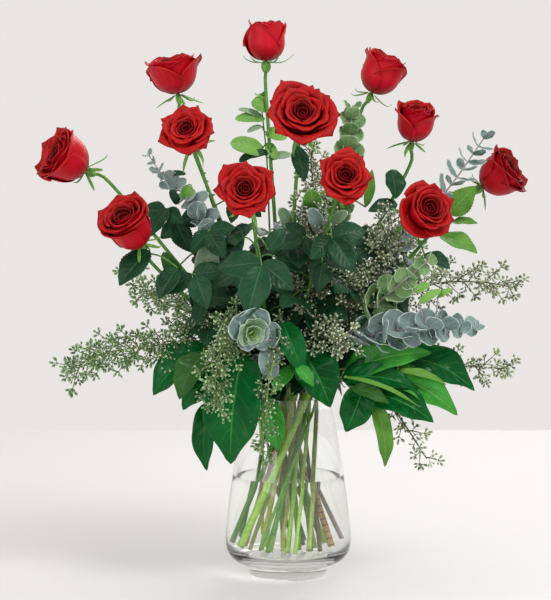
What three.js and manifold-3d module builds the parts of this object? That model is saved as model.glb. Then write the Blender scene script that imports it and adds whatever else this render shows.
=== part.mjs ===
// Twelve long-stemmed red roses with mixed greens, standing in water in a clear glass vase.
// Millimetres, +Z up, seen from the -Y side. The origin is the centre of the vase's foot, on the
// surface that it stands on.
import * as THREE from "three";
import { mergeVertices } from "three/addons/utils/BufferGeometryUtils.js";
import Module from "manifold-3d";

const wasm = await Module();
wasm.setup();

const { degToRad, lerp } = THREE.MathUtils;
const vec = (x, y, z) => new THREE.Vector3(x, y, z);
const UP = vec(0, 0, 1);
const GOLDEN_TURN = degToRad(137.5); // the turn from one leaf or branchlet to the next

// ------------------------------------------------------------------ driving dimensions

const GAP = 0.3; // clear space between neighbouring pieces

const VASE_SIDES = 26;
const FOOT_RADIUS = 44;
const FOOT_HEIGHT = 12;
const BODY_RADIUS = 71;
const SHOULDER_HEIGHT = 38;
const WALL_START = 46;
const BOW_RADIUS = 62.6; // the walls bow in between body and neck, towards this radius and height
const BOW_HEIGHT = 129;
const NECK_RADIUS = 49;
const NECK_HEIGHT = 188;
const LIP_RADIUS = 52;
const VASE_HEIGHT = 205;
const LIP_CURL = VASE_HEIGHT - 8; // where the neck starts to turn out to the lip
const LIP_ROUNDING = 1;
const EDGE = 1.5; // the bevel of the foot and the lip
const WALL = 4;
const GLASS_FLOOR = 24;
const FLOOR_CURVE = 19; // how far the rounding between floor and wall reaches in
const WATER_LEVEL = 112;

// The stems cross in the neck like a twisted sheaf. They lie on nested rings: offset is a stem's
// distance from the vase's axis at CROSSING, and slope is its lean, the same way round for all.
const CROSSING = 150;
const RINGS = [
  { offset: 5, slope: 0.08, foot: 28 },
  { offset: 13, slope: 0.2, foot: 29 },
  { offset: 21.5, slope: 0.32, foot: 31 },
  { offset: 30.5, slope: 0.42, foot: 36 },
];

const ROSE_STEM_RADIUS = 2.9;
const HIP_RADIUS = 6.6;
const HIP_LENGTH = 14;
const SEPAL_LENGTH = 25;
const LEAF_THICKNESS = 1.2;
const SEED_LENGTH = 6.4;
const SEED_RADIUS = 1.7;

// A bloom is one relief of four whorls of petals: its outline runs from the base out and up to the
// rim of the outer whorl, then down and up over each whorl inside it to the heart. The heights and
// radii are fractions of the bloom's, for a bud and for a full bloom.
const BLOOM_SIDES = 15;
const RIM_STEPS = [3, 5, 5, 5]; // corners on each petal's rim, by whorl: 5 outer petals, then 3, 3, 3
const BLOOM_OUTLINE = {
  bud: [
    [0, 0], [0.2, 0], [0.86, 0.28], [1, 0.94], [0.82, 0.72], [0.78, 0.97],
    [0.66, 0.7], [0.56, 1], [0.44, 0.74], [0.32, 1], [0.1, 0.8], [0, 0.78],
  ],
  full: [
    [0, 0], [0.2, 0], [0.68, 0.22], [0.96, 0.8], [0.74, 0.5], [0.72, 0.9],
    [0.58, 0.58], [0.5, 0.96], [0.38, 0.62], [0.27, 0.93], [0.1, 0.68], [0, 0.64],
  ],
};
const LAP = 1.8; // how far a petal's rim stands out at its free edge, and in at its tucked edge
const PEAK = 0.07; // how much the middle of a petal's rim rises, as a fraction of the bloom's height
const FLARE = 0.06; // how much it leans out, as a fraction of the bloom's radius

// Each rose: the centre of its bloom, the way the bloom faces, its width and height, how far it is
// open (0 a bud, 1 full), the turn of its petals, its place in the neck, and its leaves. A leaf has
// the joint of its leaflets, the tip of the end leaflet and the number of leaflets.
const ROSES = [
  {
    centre: [-27, 15, 600], axis: [0, 0, 1], across: 46, tall: 48, open: 0, turn: 20,
    ring: 0, azimuth: 150, leaves: [],
  },
  {
    centre: [-133, 45, 564], axis: [-0.25, -0.2, 0.95], across: 64, tall: 48, open: 0.8, turn: 50,
    ring: 1, azimuth: 165,
    leaves: [[[-127, 20, 397], [-110, 10, 364], 3], [[-60, 60, 370], [-85, 95, 345], 3]],
  },
  {
    centre: [106, 55, 567], axis: [0.3, -0.05, 0.95], across: 54, tall: 49, open: 0.35, turn: 0,
    ring: 1, azimuth: 60,
    leaves: [[[88, 30, 414], [96, 35, 457], 1], [[75, 85, 380], [95, 120, 352], 3]],
  },
  {
    centre: [-111, -55, 499], axis: [-0.15, -0.85, 0.5], across: 62, tall: 48, open: 1, turn: 12,
    ring: 1, azimuth: 210,
    leaves: [[[-88, -45, 389], [-70, -60, 361], 3]],
  },
  {
    centre: [16, -75, 518], axis: [0.05, -0.85, 0.5], across: 75, tall: 50, open: 1, turn: 33,
    ring: 0, azimuth: 270,
    leaves: [[[8, -40, 483], [18, -50, 444], 1], [[10, 60, 380], [25, 95, 350], 3]],
  },
  {
    centre: [144, 25, 512], axis: [0.2, -0.35, 0.9], across: 50, tall: 47, open: 0.3, turn: 60,
    ring: 1, azimuth: 340,
    leaves: [[[116, 25, 456], [122, 15, 424], 1], [[123, 20, 417], [90, 10, 411], 1]],
  },
  {
    centre: [-250, -15, 468], axis: [-0.8, -0.35, 0.5], across: 62, tall: 48, open: 0.7, turn: 25,
    ring: 2, azimuth: 185,
    leaves: [[[-133, -20, 414], [-153, -30, 384], 3]],
  },
  {
    centre: [-176, -95, 401], axis: [-0.3, -0.85, 0.4], across: 61, tall: 48, open: 0.9, turn: 40,
    ring: 2, azimuth: 220,
    leaves: [
      [[-100, -100, 345], [-87, -115, 310], 3],
      [[-150, -80, 370], [-183, -95, 334], 1],
      [[-119, -95, 352], [-140, -105, 320], 1],
    ],
  },
  {
    centre: [-45, -130, 434], axis: [-0.1, -0.9, 0.4], across: 62, tall: 48, open: 1, turn: 5,
    ring: 1, azimuth: 250,
    leaves: [[[-29, -125, 356], [-44, -140, 304], 3], [[-22, -110, 372], [-4, -105, 395], 1]],
  },
  {
    centre: [60, -115, 450], axis: [0.1, -0.9, 0.35], across: 58, tall: 47, open: 0.95, turn: 55,
    ring: 1, azimuth: 295,
    leaves: [[[46, -105, 384], [69, -118, 349], 3], [[36, -95, 358], [31, -100, 326], 1]],
  },
  {
    centre: [150, -85, 414], axis: [0.35, -0.85, 0.35], across: 58, tall: 48, open: 0.9, turn: 18,
    ring: 2, azimuth: 320,
    leaves: [[[148, -60, 365], [175, -75, 351], 1], [[105, -40, 330], [130, -60, 300], 3]],
  },
  {
    centre: [242, 15, 454], axis: [0.75, -0.2, 0.55], across: 56, tall: 49, open: 0.5, turn: 44,
    ring: 2, azimuth: 30,
    leaves: [
      [[179, 0, 407], [207, -15, 438], 1],
      [[183, 0, 398], [211, -10, 398], 1],
      [[169, -10, 383], [210, -25, 366], 1],
    ],
  },
];

// Each leafy branch: its place in the neck, its paths above the vase, and its leaves as root, tip
// and width. The leaves are large, glossy and pointed, and hang over the lip.
const LEAF_BRANCHES = {
  leaf_branch_left: {
    ring: 3, azimuth: 205, radius: 2.6,
    paths: [[[-62, -42, 252], [-92, -60, 262]], [[-45, -62, 240], [-62, -76, 226]]],
    leaves: [
      [[-94, -55, 257], [-150, -60, 214], 43],
      [[-88, -74, 259], [-124, -92, 216], 34],
      [[-55, -78, 237], [-66, -97, 141], 63],
      [[-78, -62, 208], [-93, -72, 130], 27],
      [[-34, -80, 222], [-8, -82, 151], 29],
    ],
  },
  leaf_branch_centre: {
    ring: 3, azimuth: 290, radius: 2.2,
    paths: [[[4, -62, 246], [2, -80, 272]]],
    leaves: [
      [[-11, -85, 289], [25, -115, 227], 27],
      [[12, -75, 246], [53, -92, 199], 46],
      [[8, -85, 245], [-20, -100, 214], 20],
    ],
  },
  leaf_branch_right: {
    ring: 3, azimuth: 325, radius: 3,
    paths: [[[66, -48, 240], [122, -48, 248]], [[58, -66, 228], [92, -80, 206]]],
    leaves: [
      [[70, -55, 239], [148, -75, 266], 38],
      [[123, -45, 247], [205, -60, 218], 47],
      [[80, -60, 232], [184, -82, 194], 45],
      [[88, -72, 216], [155, -96, 187], 52],
      [[64, -88, 230], [125, -110, 206], 17],
      [[86, -86, 206], [62, -96, 170], 38],
      [[98, -82, 202], [110, -90, 139], 20],
    ],
  },
  leaf_branch_back: {
    ring: 3, azimuth: 80, radius: 2.8,
    paths: [[[-10, 58, 244], [-4, 92, 254]], [[28, 52, 246], [52, 72, 252]]],
    leaves: [
      [[-16, 82, 246], [-68, 112, 196], 46],
      [[0, 92, 248], [-4, 124, 160], 52],
      [[40, 76, 246], [82, 104, 196], 46],
      [[56, 62, 250], [118, 60, 234], 42],
    ],
  },
};

// Each round-leaf spray: its paths above the vase, and for each path where its leaf pairs begin
// (fraction), how many pairs it has, and the leaves' size at the start and at the tip.
const ROUND_LEAF_SPRAYS = {
  eucalyptus_left: {
    ring: 2, azimuth: 155, radius: 3.4,
    paths: [
      { points: [[-38, -8, 300], [-74, -10, 367], [-104, -5, 417], [-138, 5, 447], [-158, 10, 475]],
        start: 0.42, pairs: 7, size: [28, 9] },
    ],
  },
  eucalyptus_top: {
    ring: 1, azimuth: 120, radius: 2, green: true,
    paths: [{ points: [[-18, 18, 350], [-24, 22, 467], [-32, 22, 542]], start: 0.66, pairs: 4, size: [31, 20] }],
  },
  eucalyptus_right: {
    ring: 1, azimuth: 20, radius: 2.4, green: true,
    paths: [
      { points: [[45, 22, 350], [64, 22, 445], [72, 22, 526]], start: 0.6, pairs: 5, size: [28, 16] },
      { points: [[85, 10, 300], [125, -2, 378], [178, 3, 434], [223, 10, 496]], start: 0.5, pairs: 5, size: [21, 11] },
    ],
  },
  eucalyptus_low: {
    ring: 3, azimuth: 355, radius: 4.2,
    paths: [
      { points: [[76, -52, 262], [153, -84, 288], [218, -76, 293]], start: 0.42, pairs: 7, size: [33, 13] },
      { points: [[78, -40, 290], [125, -82, 338], [150, -90, 360]], start: 0.5, pairs: 3, size: [20, 11] },
    ],
  },
  eucalyptus_front: {
    ring: 3, azimuth: 262, radius: 2,
    paths: [
      { points: [[-14, -84, 268], [-36, -118, 286], [-44, -138, 300]], start: 0.45, pairs: 4, size: [30, 17] },
    ],
  },
  eucalyptus_back: {
    ring: 2, azimuth: 110, radius: 2.4,
    paths: [
      { points: [[14, 52, 310], [38, 84, 395], [48, 96, 452]], start: 0.45, pairs: 4, size: [24, 12] },
      { points: [[-20, 60, 290], [-70, 92, 350], [-96, 104, 396]], start: 0.5, pairs: 3, size: [24, 12] },
    ],
  },
};

// Each seeded spray: its paths above the vase, and for each path where its branchlets begin, how
// many it has, and their length at the start and at the tip.
const SEEDED_SPRAYS = {
  seeded_left: {
    ring: 3, azimuth: 170, radius: 2.2,
    paths: [
      { points: [[-80, -30, 262], [-150, -56, 264], [-205, -60, 256], [-246, -56, 237]],
        start: 0.36, branchlets: 8, length: [27, 12] },
      { points: [[-92, -26, 290], [-150, -32, 315], [-171, -32, 342]], start: 0.55, branchlets: 2, length: [18, 10] },
    ],
  },
  seeded_front: {
    ring: 3, azimuth: 235, radius: 1.8,
    paths: [
      { points: [[-46, -84, 282], [-62, -112, 285], [-76, -124, 250], [-80, -126, 208]],
        start: 0.45, branchlets: 4, length: [22, 12] },
      { points: [[-16, -96, 262], [-22, -112, 226], [-29, -112, 156]], start: 0.42, branchlets: 4, length: [12, 8] },
    ],
  },
  seeded_centre: {
    ring: 0, azimuth: 30, radius: 2,
    paths: [
      { points: [[12, -30, 315], [32, -30, 401], [24, -14, 480]], start: 0.4, branchlets: 4, length: [22, 11] },
      { points: [[34, -62, 270], [58, -98, 274]], start: 0.5, branchlets: 2, length: [16, 11] },
    ],
  },
  seeded_right: {
    ring: 2, azimuth: 355, radius: 2.2,
    paths: [
      { points: [[72, -42, 320], [102, -58, 370], [112, -62, 402]], start: 0.4, branchlets: 3, length: [24, 12] },
      { points: [[110, -16, 306], [160, -28, 330], [212, -20, 332], [254, -10, 325]],
        start: 0.5, branchlets: 4, length: [22, 11] },
    ],
  },
  seeded_low: {
    ring: 3, azimuth: 25, radius: 1.8,
    paths: [
      { points: [[100, -12, 244], [180, -28, 240], [242, -30, 236]], start: 0.62, branchlets: 2, length: [16, 10] },
      { points: [[78, -40, 222], [114, -66, 196], [150, -86, 144]], start: 0.5, branchlets: 3, length: [16, 10] },
    ],
  },
  seeded_back: {
    ring: 2, azimuth: 70, radius: 2.2,
    paths: [
      { points: [[50, 66, 300], [112, 92, 340], [152, 100, 352]], start: 0.5, branchlets: 4, length: [22, 11] },
      { points: [[-60, 56, 280], [-128, 84, 300], [-168, 94, 312]], start: 0.5, branchlets: 4, length: [22, 11] },
    ],
  },
};

const LOOKS = {
  glass: { color: 0xdfe8e4, roughness: 0.05, metalness: 0, transparent: true, opacity: 0.35 },
  water: { color: 0xe8f0ee, roughness: 0.02, metalness: 0, transparent: true, opacity: 0.4 },
  petal: { color: 0xb8101c, roughness: 0.55, metalness: 0 },
  roseStem: { color: 0x2f6b33, roughness: 0.5, metalness: 0 },
  glossyLeaf: { color: 0x1f7a34, roughness: 0.3, metalness: 0 },
  blueLeaf: { color: 0x7d979b, roughness: 0.7, metalness: 0 },
  greenLeaf: { color: 0x7da669, roughness: 0.6, metalness: 0 },
  seeded: { color: 0x97a878, roughness: 0.6, metalness: 0 },
};

// ------------------------------------------------------------------ solids

/** A closed geometry as a solid, with its faces turned outwards. */
function solidOf(geometry) {
  const bare = geometry.clone();
  bare.deleteAttribute("normal");
  bare.deleteAttribute("uv");
  const merged = mergeVertices(bare, 1e-3);
  const corners = merged.index.array;
  const faces = [];
  for (let i = 0; i < corners.length; i += 3) {
    const [a, b, c] = corners.slice(i, i + 3);
    if (a !== b && b !== c && c !== a) faces.push(a, b, c);
  }
  const build = order => new wasm.Manifold(new wasm.Mesh({
    numProp: 3,
    vertProperties: merged.attributes.position.array,
    triVerts: Uint32Array.from(order),
  }));
  const solid = build(faces);
  return solid.volume() > 0 ? solid : build(faces.reverse());
}

/** Solids fused into one body, with any pocket that the fusing closed off filled. */
function joined(solids) {
  const bodies = solids.reduce((sum, solid) => sum.add(solid)).decompose();
  return bodies.reduce((best, body) => (body.volume() > best.volume() ? body : best));
}

/** A solid of revolution about +Z from an outline that starts and ends on the axis. */
function turned(outline, sides) {
  return solidOf(new THREE.LatheGeometry(outline, sides).rotateX(Math.PI / 2));
}

/** A round stalk along a line of points, with a radius at each point. */
function stalk(points, radii, sides) {
  const rows = points.length - 1;
  const geometry = new THREE.CylinderGeometry(1, 1, 1, sides, rows);
  const frames = [];
  let normal = Math.abs(points[1].clone().sub(points[0]).normalize().y) > 0.9 ? vec(1, 0, 0) : vec(0, 1, 0);
  points.forEach((point, i) => {
    const before = points[Math.max(i - 1, 0)];
    const after = points[Math.min(i + 1, rows)];
    const along = after.clone().sub(before).normalize();
    normal = normal.clone().addScaledVector(along, -normal.dot(along)).normalize();
    frames.push({ point, normal, binormal: vec(0, 0, 0).crossVectors(along, normal), radius: radii[i] });
  });
  const position = geometry.attributes.position;
  for (let i = 0; i < position.count; i++) {
    const { point, normal: side, binormal, radius } = frames[Math.round((position.getY(i) + 0.5) * rows)];
    const moved = point.clone()
      .addScaledVector(side, position.getX(i) * radius)
      .addScaledVector(binormal, position.getZ(i) * radius);
    position.setXYZ(i, moved.x, moved.y, moved.z);
  }
  return solidOf(geometry);
}

/**
 * A thin closed blade, thickest along its middle. The rows of a sphere run from its root to its tip
 * and the meridians go round its section. place(t, across, side) gives a point of it: t runs from 0
 * to 1 along it, across is the distance from its middle line and side the distance from its sheet.
 */
function blade({ stations, meridians, halfWidth, thickness, place }) {
  const rows = stations.length - 1;
  const geometry = new THREE.SphereGeometry(1, meridians, rows);
  const position = geometry.attributes.position;
  for (let i = 0; i < position.count; i++) {
    const row = Math.floor(i / (meridians + 1));
    const ring = Math.sin((Math.PI * row) / rows) || 1;
    const across = (position.getX(i) / ring) * halfWidth(stations[row], row);
    const moved = place(stations[row], across, (position.getZ(i) / ring) * thickness(row) / 2);
    position.setXYZ(i, moved.x, moved.y, moved.z);
  }
  // Both faces are split into triangles alike, so that a waved blade's faces never cross.
  const faces = [];
  for (let row = 0; row < rows; row++) {
    for (let step = 0; step < meridians; step++) {
      const b = row * (meridians + 1) + step;
      const [a, c, d] = [b + 1, b + meridians + 1, b + meridians + 2];
      const front = step < meridians / 2;
      if (row > 0) faces.push(...(front ? [a, b, d] : [a, b, c]));
      if (row < rows - 1) faces.push(...(front ? [b, c, d] : [a, c, d]));
    }
  }
  return solidOf(geometry.setIndex(faces));
}

/**
 * A leaf and its stalk as one blade. Its middle line runs straight from base to root and then bows
 * to tip. Each row gives its place (-1 at the base, 0 at the root, 1 at the tip) and its half-width
 * as a share of the blade's length. The edges lift by fold and wave.
 */
function leafOnStalk({ base, root, tip, face, rows, stalkRadius, arch = 0, fold = 0, wave = 0 }) {
  const frameAlong = (from, to) => {
    const line = to.clone().sub(from);
    const lateral = vec(0, 0, 0).crossVectors(face, line).normalize();
    return { line, lateral, normal: vec(0, 0, 0).crossVectors(line, lateral).normalize() };
  };
  const sheet = frameAlong(root, tip);
  const stem = frameAlong(base, root);
  if (stem.lateral.dot(sheet.lateral) < 0) {
    stem.lateral.negate();
    stem.normal.negate();
  }
  const length = sheet.line.length();
  return blade({
    stations: rows.map(([t]) => t),
    meridians: 4,
    halfWidth: (t, row) => (t > 0 ? rows[row][1] * length : Math.sign(rows[row][1]) * stalkRadius),
    thickness: row => (rows[row][0] > 0 ? LEAF_THICKNESS : 2 * stalkRadius),
    place: (t, across, side) => {
      if (t < 0) {
        return root.clone()
          .addScaledVector(stem.line, t)
          .addScaledVector(stem.lateral, across)
          .addScaledVector(stem.normal, side);
      }
      const bow = arch * length * 4 * t * (1 - t);
      const lift = fold * Math.abs(across) + wave * across * Math.sin(7 * t);
      return root.clone()
        .addScaledVector(sheet.line, t)
        .addScaledVector(sheet.lateral, across)
        .addScaledVector(sheet.normal, bow + (t > 0 ? lift : 0) + side);
    },
  });
}

// ------------------------------------------------------------------ keeping pieces clear

const placed = [];

function boxOf(solid) {
  const { min, max } = solid.boundingBox();
  return new THREE.Box3(vec(...min), vec(...max));
}

/** Whether a solid keeps the gap to every placed piece of the other nodes. */
function isClear(owner, solid) {
  const reach = boxOf(solid).expandByScalar(GAP);
  return placed.every(piece => piece.owner === owner || !piece.box.intersectsBox(reach)
    || piece.solid.minGap(solid, 2 * GAP) >= GAP);
}

function keep(owner, solid) {
  placed.push({ owner, solid, box: boxOf(solid) });
  return solid;
}

/** The first of several ways to make a piece that stays clear of the other nodes, or null. */
function firstClear(owner, ways, make) {
  for (const way of ways) {
    const made = make(way);
    if (isClear(owner, made.solid)) {
      keep(owner, made.solid);
      return made;
    }
  }
  return null;
}

// A leaf that would cross another piece is bent clear: swung round its root, lifted or drooped.
const LEAF_BENDS = [
  [0, 0], [0, 14], [0, -14], [14, 0], [-14, 0], [14, 14], [-14, 14], [0, 28], [0, -28],
  [28, 0], [-28, 0], [28, 28], [-28, 28], [28, -28], [-28, -28], [0, 45], [45, 0], [-45, 0],
];

// A stem that would cross another piece bows aside between its ends.
const STEM_BOWS = [vec(0, 0, 0)];
for (const bow of [6, 12, 18, 25]) {
  for (let turn = 0; turn < 360; turn += 45) {
    STEM_BOWS.push(vec(bow * Math.cos(degToRad(turn)), bow * Math.sin(degToRad(turn)), 0));
  }
}

/** A tip swung round the face's normal and lifted towards it, both in degrees, about its root. */
function bentTip(root, tip, face, [swing, lift]) {
  const along = tip.clone().sub(root);
  const lateral = vec(0, 0, 0).crossVectors(along, face).normalize();
  return root.clone().add(along.applyAxisAngle(lateral, degToRad(lift)).applyAxisAngle(face, degToRad(swing)));
}

// ------------------------------------------------------------------ vase and water

/** The hollow of the vase from its floor up, drawn in from the glass by a gap. */
function hollowOutline(path, gap) {
  const neck = NECK_RADIUS - WALL - gap;
  const body = BODY_RADIUS - WALL - gap;
  const floor = GLASS_FLOOR + gap;
  path.quadraticCurveTo(neck, LIP_CURL, neck, NECK_HEIGHT);
  path.quadraticCurveTo(BOW_RADIUS - WALL - gap, BOW_HEIGHT, body, WALL_START);
  path.lineTo(body, SHOULDER_HEIGHT);
  path.quadraticCurveTo(body - 1, floor, body - FLOOR_CURVE, floor);
  path.lineTo(0, floor);
  return path;
}

function makeVase() {
  const outline = new THREE.Path();
  outline.moveTo(0, 0);
  outline.lineTo(FOOT_RADIUS - EDGE, 0);
  outline.lineTo(FOOT_RADIUS, EDGE);
  outline.lineTo(FOOT_RADIUS, FOOT_HEIGHT);
  outline.quadraticCurveTo(BODY_RADIUS - 1, FOOT_HEIGHT + 4, BODY_RADIUS, SHOULDER_HEIGHT);
  outline.lineTo(BODY_RADIUS, WALL_START);
  outline.quadraticCurveTo(BOW_RADIUS, BOW_HEIGHT, NECK_RADIUS, NECK_HEIGHT);
  outline.quadraticCurveTo(NECK_RADIUS, LIP_CURL, LIP_RADIUS, VASE_HEIGHT - LIP_ROUNDING);
  outline.lineTo(LIP_RADIUS - EDGE, VASE_HEIGHT);
  outline.lineTo(LIP_RADIUS - WALL + EDGE / 3, VASE_HEIGHT - LIP_ROUNDING);
  return turned(hollowOutline(outline, 0).getPoints(2), VASE_SIDES);
}

function makeWater(holes) {
  const outline = new THREE.Path();
  outline.moveTo(0, VASE_HEIGHT - LIP_ROUNDING);
  outline.lineTo(LIP_RADIUS - WALL, VASE_HEIGHT - LIP_ROUNDING);
  const filled = turned(hollowOutline(outline, GAP).getPoints(2), VASE_SIDES);
  const below = new THREE.CylinderGeometry(2 * BODY_RADIUS, 2 * BODY_RADIUS, WATER_LEVEL, 4)
    .rotateX(Math.PI / 2)
    .translate(0, 0, WATER_LEVEL / 2);
  return holes.reduce((water, hole) => water.subtract(hole), filled.intersect(solidOf(below)));
}

// ------------------------------------------------------------------ stems

/** A point of a stem's straight line through the neck, at a height. */
function neckPoint({ ring, azimuth }, height) {
  const { offset, slope } = RINGS[ring];
  const angle = degToRad(azimuth);
  const travel = (height - CROSSING) * slope;
  return vec(
    offset * Math.sin(angle) + travel * Math.cos(angle),
    -offset * Math.cos(angle) + travel * Math.sin(angle),
    height,
  );
}

const CROWN = VASE_HEIGHT + 14; // where a spray's stem forks, just above the lip

/** The points of a stem from the vase's lip through its places, spaced evenly. */
function stemCurve(start, places, steps) {
  return new THREE.CatmullRomCurve3([...start, ...places], false, "centripetal").getSpacedPoints(steps);
}

const HOLE_GAP = 1.3 * GAP; // at the corners, so that the flats of a hole keep the gap too
const holes = [];

/** The straight lower length of a stem, from its cut foot up, and its hole in the water. */
function lowerPoints(stem) {
  return [neckPoint(stem, RINGS[stem.ring].foot), neckPoint(stem, VASE_HEIGHT)];
}

function drillHole(stem, radius, sides) {
  const [foot, lip] = lowerPoints(stem);
  const end = foot.clone().addScaledVector(lip.clone().sub(foot).normalize(), -GAP);
  holes.push(stalk([end, lip], [radius + HOLE_GAP, radius + HOLE_GAP], sides));
}

/** The point of a stem that is nearest to a place, short of the stem's own end. */
function nearestOn(points, place) {
  let best = points[0];
  for (let i = 1; i < points.length; i++) {
    const end = i < points.length - 1 ? points[i] : points[i].clone().lerp(points[i - 1], 0.25);
    const near = new THREE.Line3(points[i - 1], end).closestPointToPoint(place, true, vec(0, 0, 0));
    if (near.distanceTo(place) < best.distanceTo(place)) best = near;
  }
  return best;
}

/** Radii that taper evenly along a line of points. */
const taper = (points, from, to) => points.map((_, i) => lerp(from, to, i / (points.length - 1)));

// ------------------------------------------------------------------ roses

/** A bloom about +Z with its base at the origin. */
function makeBloom(rose) {
  const outline = BLOOM_OUTLINE.bud.map(([radius, height], i) => new THREE.Vector2(
    lerp(radius, BLOOM_OUTLINE.full[i][0], rose.open) * rose.across / 2,
    lerp(height, BLOOM_OUTLINE.full[i][1], rose.open) * rose.tall,
  ));
  const geometry = new THREE.LatheGeometry(outline, BLOOM_SIDES);
  const position = geometry.attributes.position;
  for (let i = 0; i < position.count; i++) {
    const row = i % outline.length;
    const onPetals = row > 1 && row < outline.length - 1;
    if (!onPetals && outline[row].x === 0) {
      position.setXYZ(i, 0, 0, outline[row].y);
      continue;
    }
    const whorl = Math.max(0, Math.floor((row - 2) / 2));
    const corner = Math.floor(i / outline.length) % BLOOM_SIDES;
    const steps = RIM_STEPS[Math.min(whorl, RIM_STEPS.length - 1)];
    const share = (2 * ((corner + whorl) % steps)) / (steps - 1) - 1; // -1 at the tucked edge, 1 at the free
    const isRim = onPetals && row % 2 === 1;
    const peak = isRim ? 1 - share * share : 0;
    const turn = degToRad(rose.turn) + (2 * Math.PI * corner) / BLOOM_SIDES;
    const radius = outline[row].x + (isRim ? LAP * share : 0) + peak * FLARE * rose.across / 2;
    const height = outline[row].y + peak * PEAK * rose.tall;
    position.setXYZ(i, radius * Math.cos(turn), radius * Math.sin(turn), height);
  }
  return solidOf(geometry);
}

/** The hip under a bloom with its five sepals as a star, about +Z, with its top under the origin. */
function makeHip(rose) {
  const outline = [
    [0, -GAP], [HIP_RADIUS - 1, -GAP], [HIP_RADIUS - 1, -2.2], [HIP_RADIUS, -4.4], [0, -HIP_LENGTH],
  ].map(([radius, height]) => new THREE.Vector2(radius, height));
  const geometry = new THREE.LatheGeometry(outline, 10);
  const position = geometry.attributes.position;
  for (let i = 0; i < position.count; i++) {
    const { x: radius, y: height } = outline[i % outline.length];
    const corner = Math.floor(i / outline.length) % 10;
    const sepal = corner / 2;
    const isTip = i % outline.length === 2 && Number.isInteger(sepal);
    const drop = rose.open === 0 ? 9 * (sepal % 2) - 3 : 6 + 5 * (sepal % 3);
    const reach = isTip ? HIP_RADIUS + 0.85 * SEPAL_LENGTH : radius;
    const turn = degToRad(rose.turn) + (corner * Math.PI) / 5;
    position.setXYZ(i, reach * Math.cos(turn), reach * Math.sin(turn), isTip ? height - drop : height);
  }
  return solidOf(geometry);
}

// The rows of a rose leaf, with one leaflet, or with three cut to the rib in one blade's outline.
const LEAFLET_ROWS = {
  1: [[-1, 0], [-0.97, 1], [0, 1], [0.3, 0.34], [0.68, 0.31], [1, 0]],
  3: [[-1, 0], [-0.97, 1], [0, 1], [0.2, 0.78], [0.36, 0.05], [0.62, 0.32], [1, 0]],
};

/** A rose leaf: a stalk from the stem to the joint, with one leaflet or three fanned from there. */
function makeRoseLeaf(points, joint, tip, leaflets) {
  const line = tip.clone().sub(joint);
  const face = vec(joint.x, joint.y - 60, 160).normalize(); // up and towards the viewer
  face.addScaledVector(line, -face.dot(line) / line.lengthSq()).normalize();
  return leafOnStalk({
    base: nearestOn(points, joint),
    root: joint,
    tip,
    face,
    rows: LEAFLET_ROWS[leaflets],
    stalkRadius: 1.1,
    arch: 0.05,
    fold: 0.14,
  });
}

function makeRose(rose, number) {
  const axis = vec(...rose.axis).normalize();
  const facing = new THREE.Quaternion().setFromUnitVectors(UP, axis);
  const base = vec(...rose.centre).addScaledVector(axis, -0.46 * rose.tall);
  const inPlace = solid => solid.transform(
    new THREE.Matrix4().compose(base, facing, vec(1, 1, 1)).toArray(),
  );
  return { ...rose, number, axis, facing, base, inPlace, bloom: makeBloom(rose) };
}

/** A rose's stem from its cut foot to its hip, bowed clear of the other stems and blooms. */
function makeRoseStem(rose) {
  const name = `rose_stem_${rose.number}`;
  const lift = neckPoint(rose, VASE_HEIGHT + 30);
  const neck = rose.base.clone().addScaledVector(rose.axis, -2.6 * HIP_LENGTH);
  const end = rose.base.clone().addScaledVector(rose.axis, -0.7 * HIP_LENGTH);
  const [foot, lip] = lowerPoints(rose);
  return firstClear(name, STEM_BOWS, bow => {
    const middle = lift.clone().lerp(neck, 0.5).add(bow);
    const points = [foot, ...stemCurve([lip, lift, middle, neck], [end], 5)];
    return { points, solid: stalk(points, taper(points, ROSE_STEM_RADIUS, 2.4), 5) };
  });
}

// ------------------------------------------------------------------ greens

/** The forked stem of a spray: one straight length in the vase and a bowed path to each tip. */
function makeForks(name, spray, paths, sides) {
  const [foot, lip] = lowerPoints(spray);
  const crown = neckPoint(spray, CROWN);
  const lower = [foot, lip, crown];
  const stem = keep(name, stalk(lower, taper(lower, spray.radius, 0.85 * spray.radius), sides));
  const forks = paths.map((path, fork) => {
    const places = path.map(place => vec(...place));
    const made = firstClear(name, STEM_BOWS, bow => {
      const bowed = places.map((place, i) => (i === 0 ? place.clone().add(bow) : place));
      const start = fork === 0 ? [lip, crown] : [crown];
      const points = stemCurve(start, bowed, 2 + bowed.length);
      return { points, solid: stalk(points, taper(points, 0.78 * spray.radius, 0.9), 3) };
    });
    if (!made) throw new Error(`${name}: path ${fork} finds no clear way`);
    return made;
  });
  return { solids: [stem, ...forks.map(fork => fork.solid)], forks };
}

/** A large glossy leaf with a waved edge, widest below its middle. */
function makeGlossyLeaf(base, root, tip, width) {
  const line = tip.clone().sub(root);
  const face = vec(root.x, root.y, 90).normalize();
  face.addScaledVector(line, -face.dot(line) / line.lengthSq()).normalize();
  const half = width / 2 / line.length();
  return leafOnStalk({
    base,
    root,
    tip,
    face,
    rows: [[-1, 0], [-0.97, 1], [0, 1], [0.16, 0.7 * half], [0.42, half], [0.76, 0.62 * half], [1, 0]],
    stalkRadius: 1.3,
    arch: 0.1,
    fold: 0.12,
    wave: 0.14,
  });
}

function makeLeafBranch(name, branch, { solids, forks }) {
  const points = forks.map(fork => fork.points);
  for (const [rootPlace, tipPlace, width] of branch.leaves) {
    const root = vec(...rootPlace);
    const tip = vec(...tipPlace);
    const base = points.map(line => nearestOn(line, root))
      .sort((a, b) => a.distanceTo(root) - b.distanceTo(root))[0];
    const leaf = firstClear(name, LEAF_BENDS, bend => ({
      solid: makeGlossyLeaf(base, root, bentTip(root, tip, vec(root.x, root.y, 90).normalize(), bend), width),
    }));
    if (leaf) solids.push(leaf.solid);
  }
  return joined(solids);
}

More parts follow.
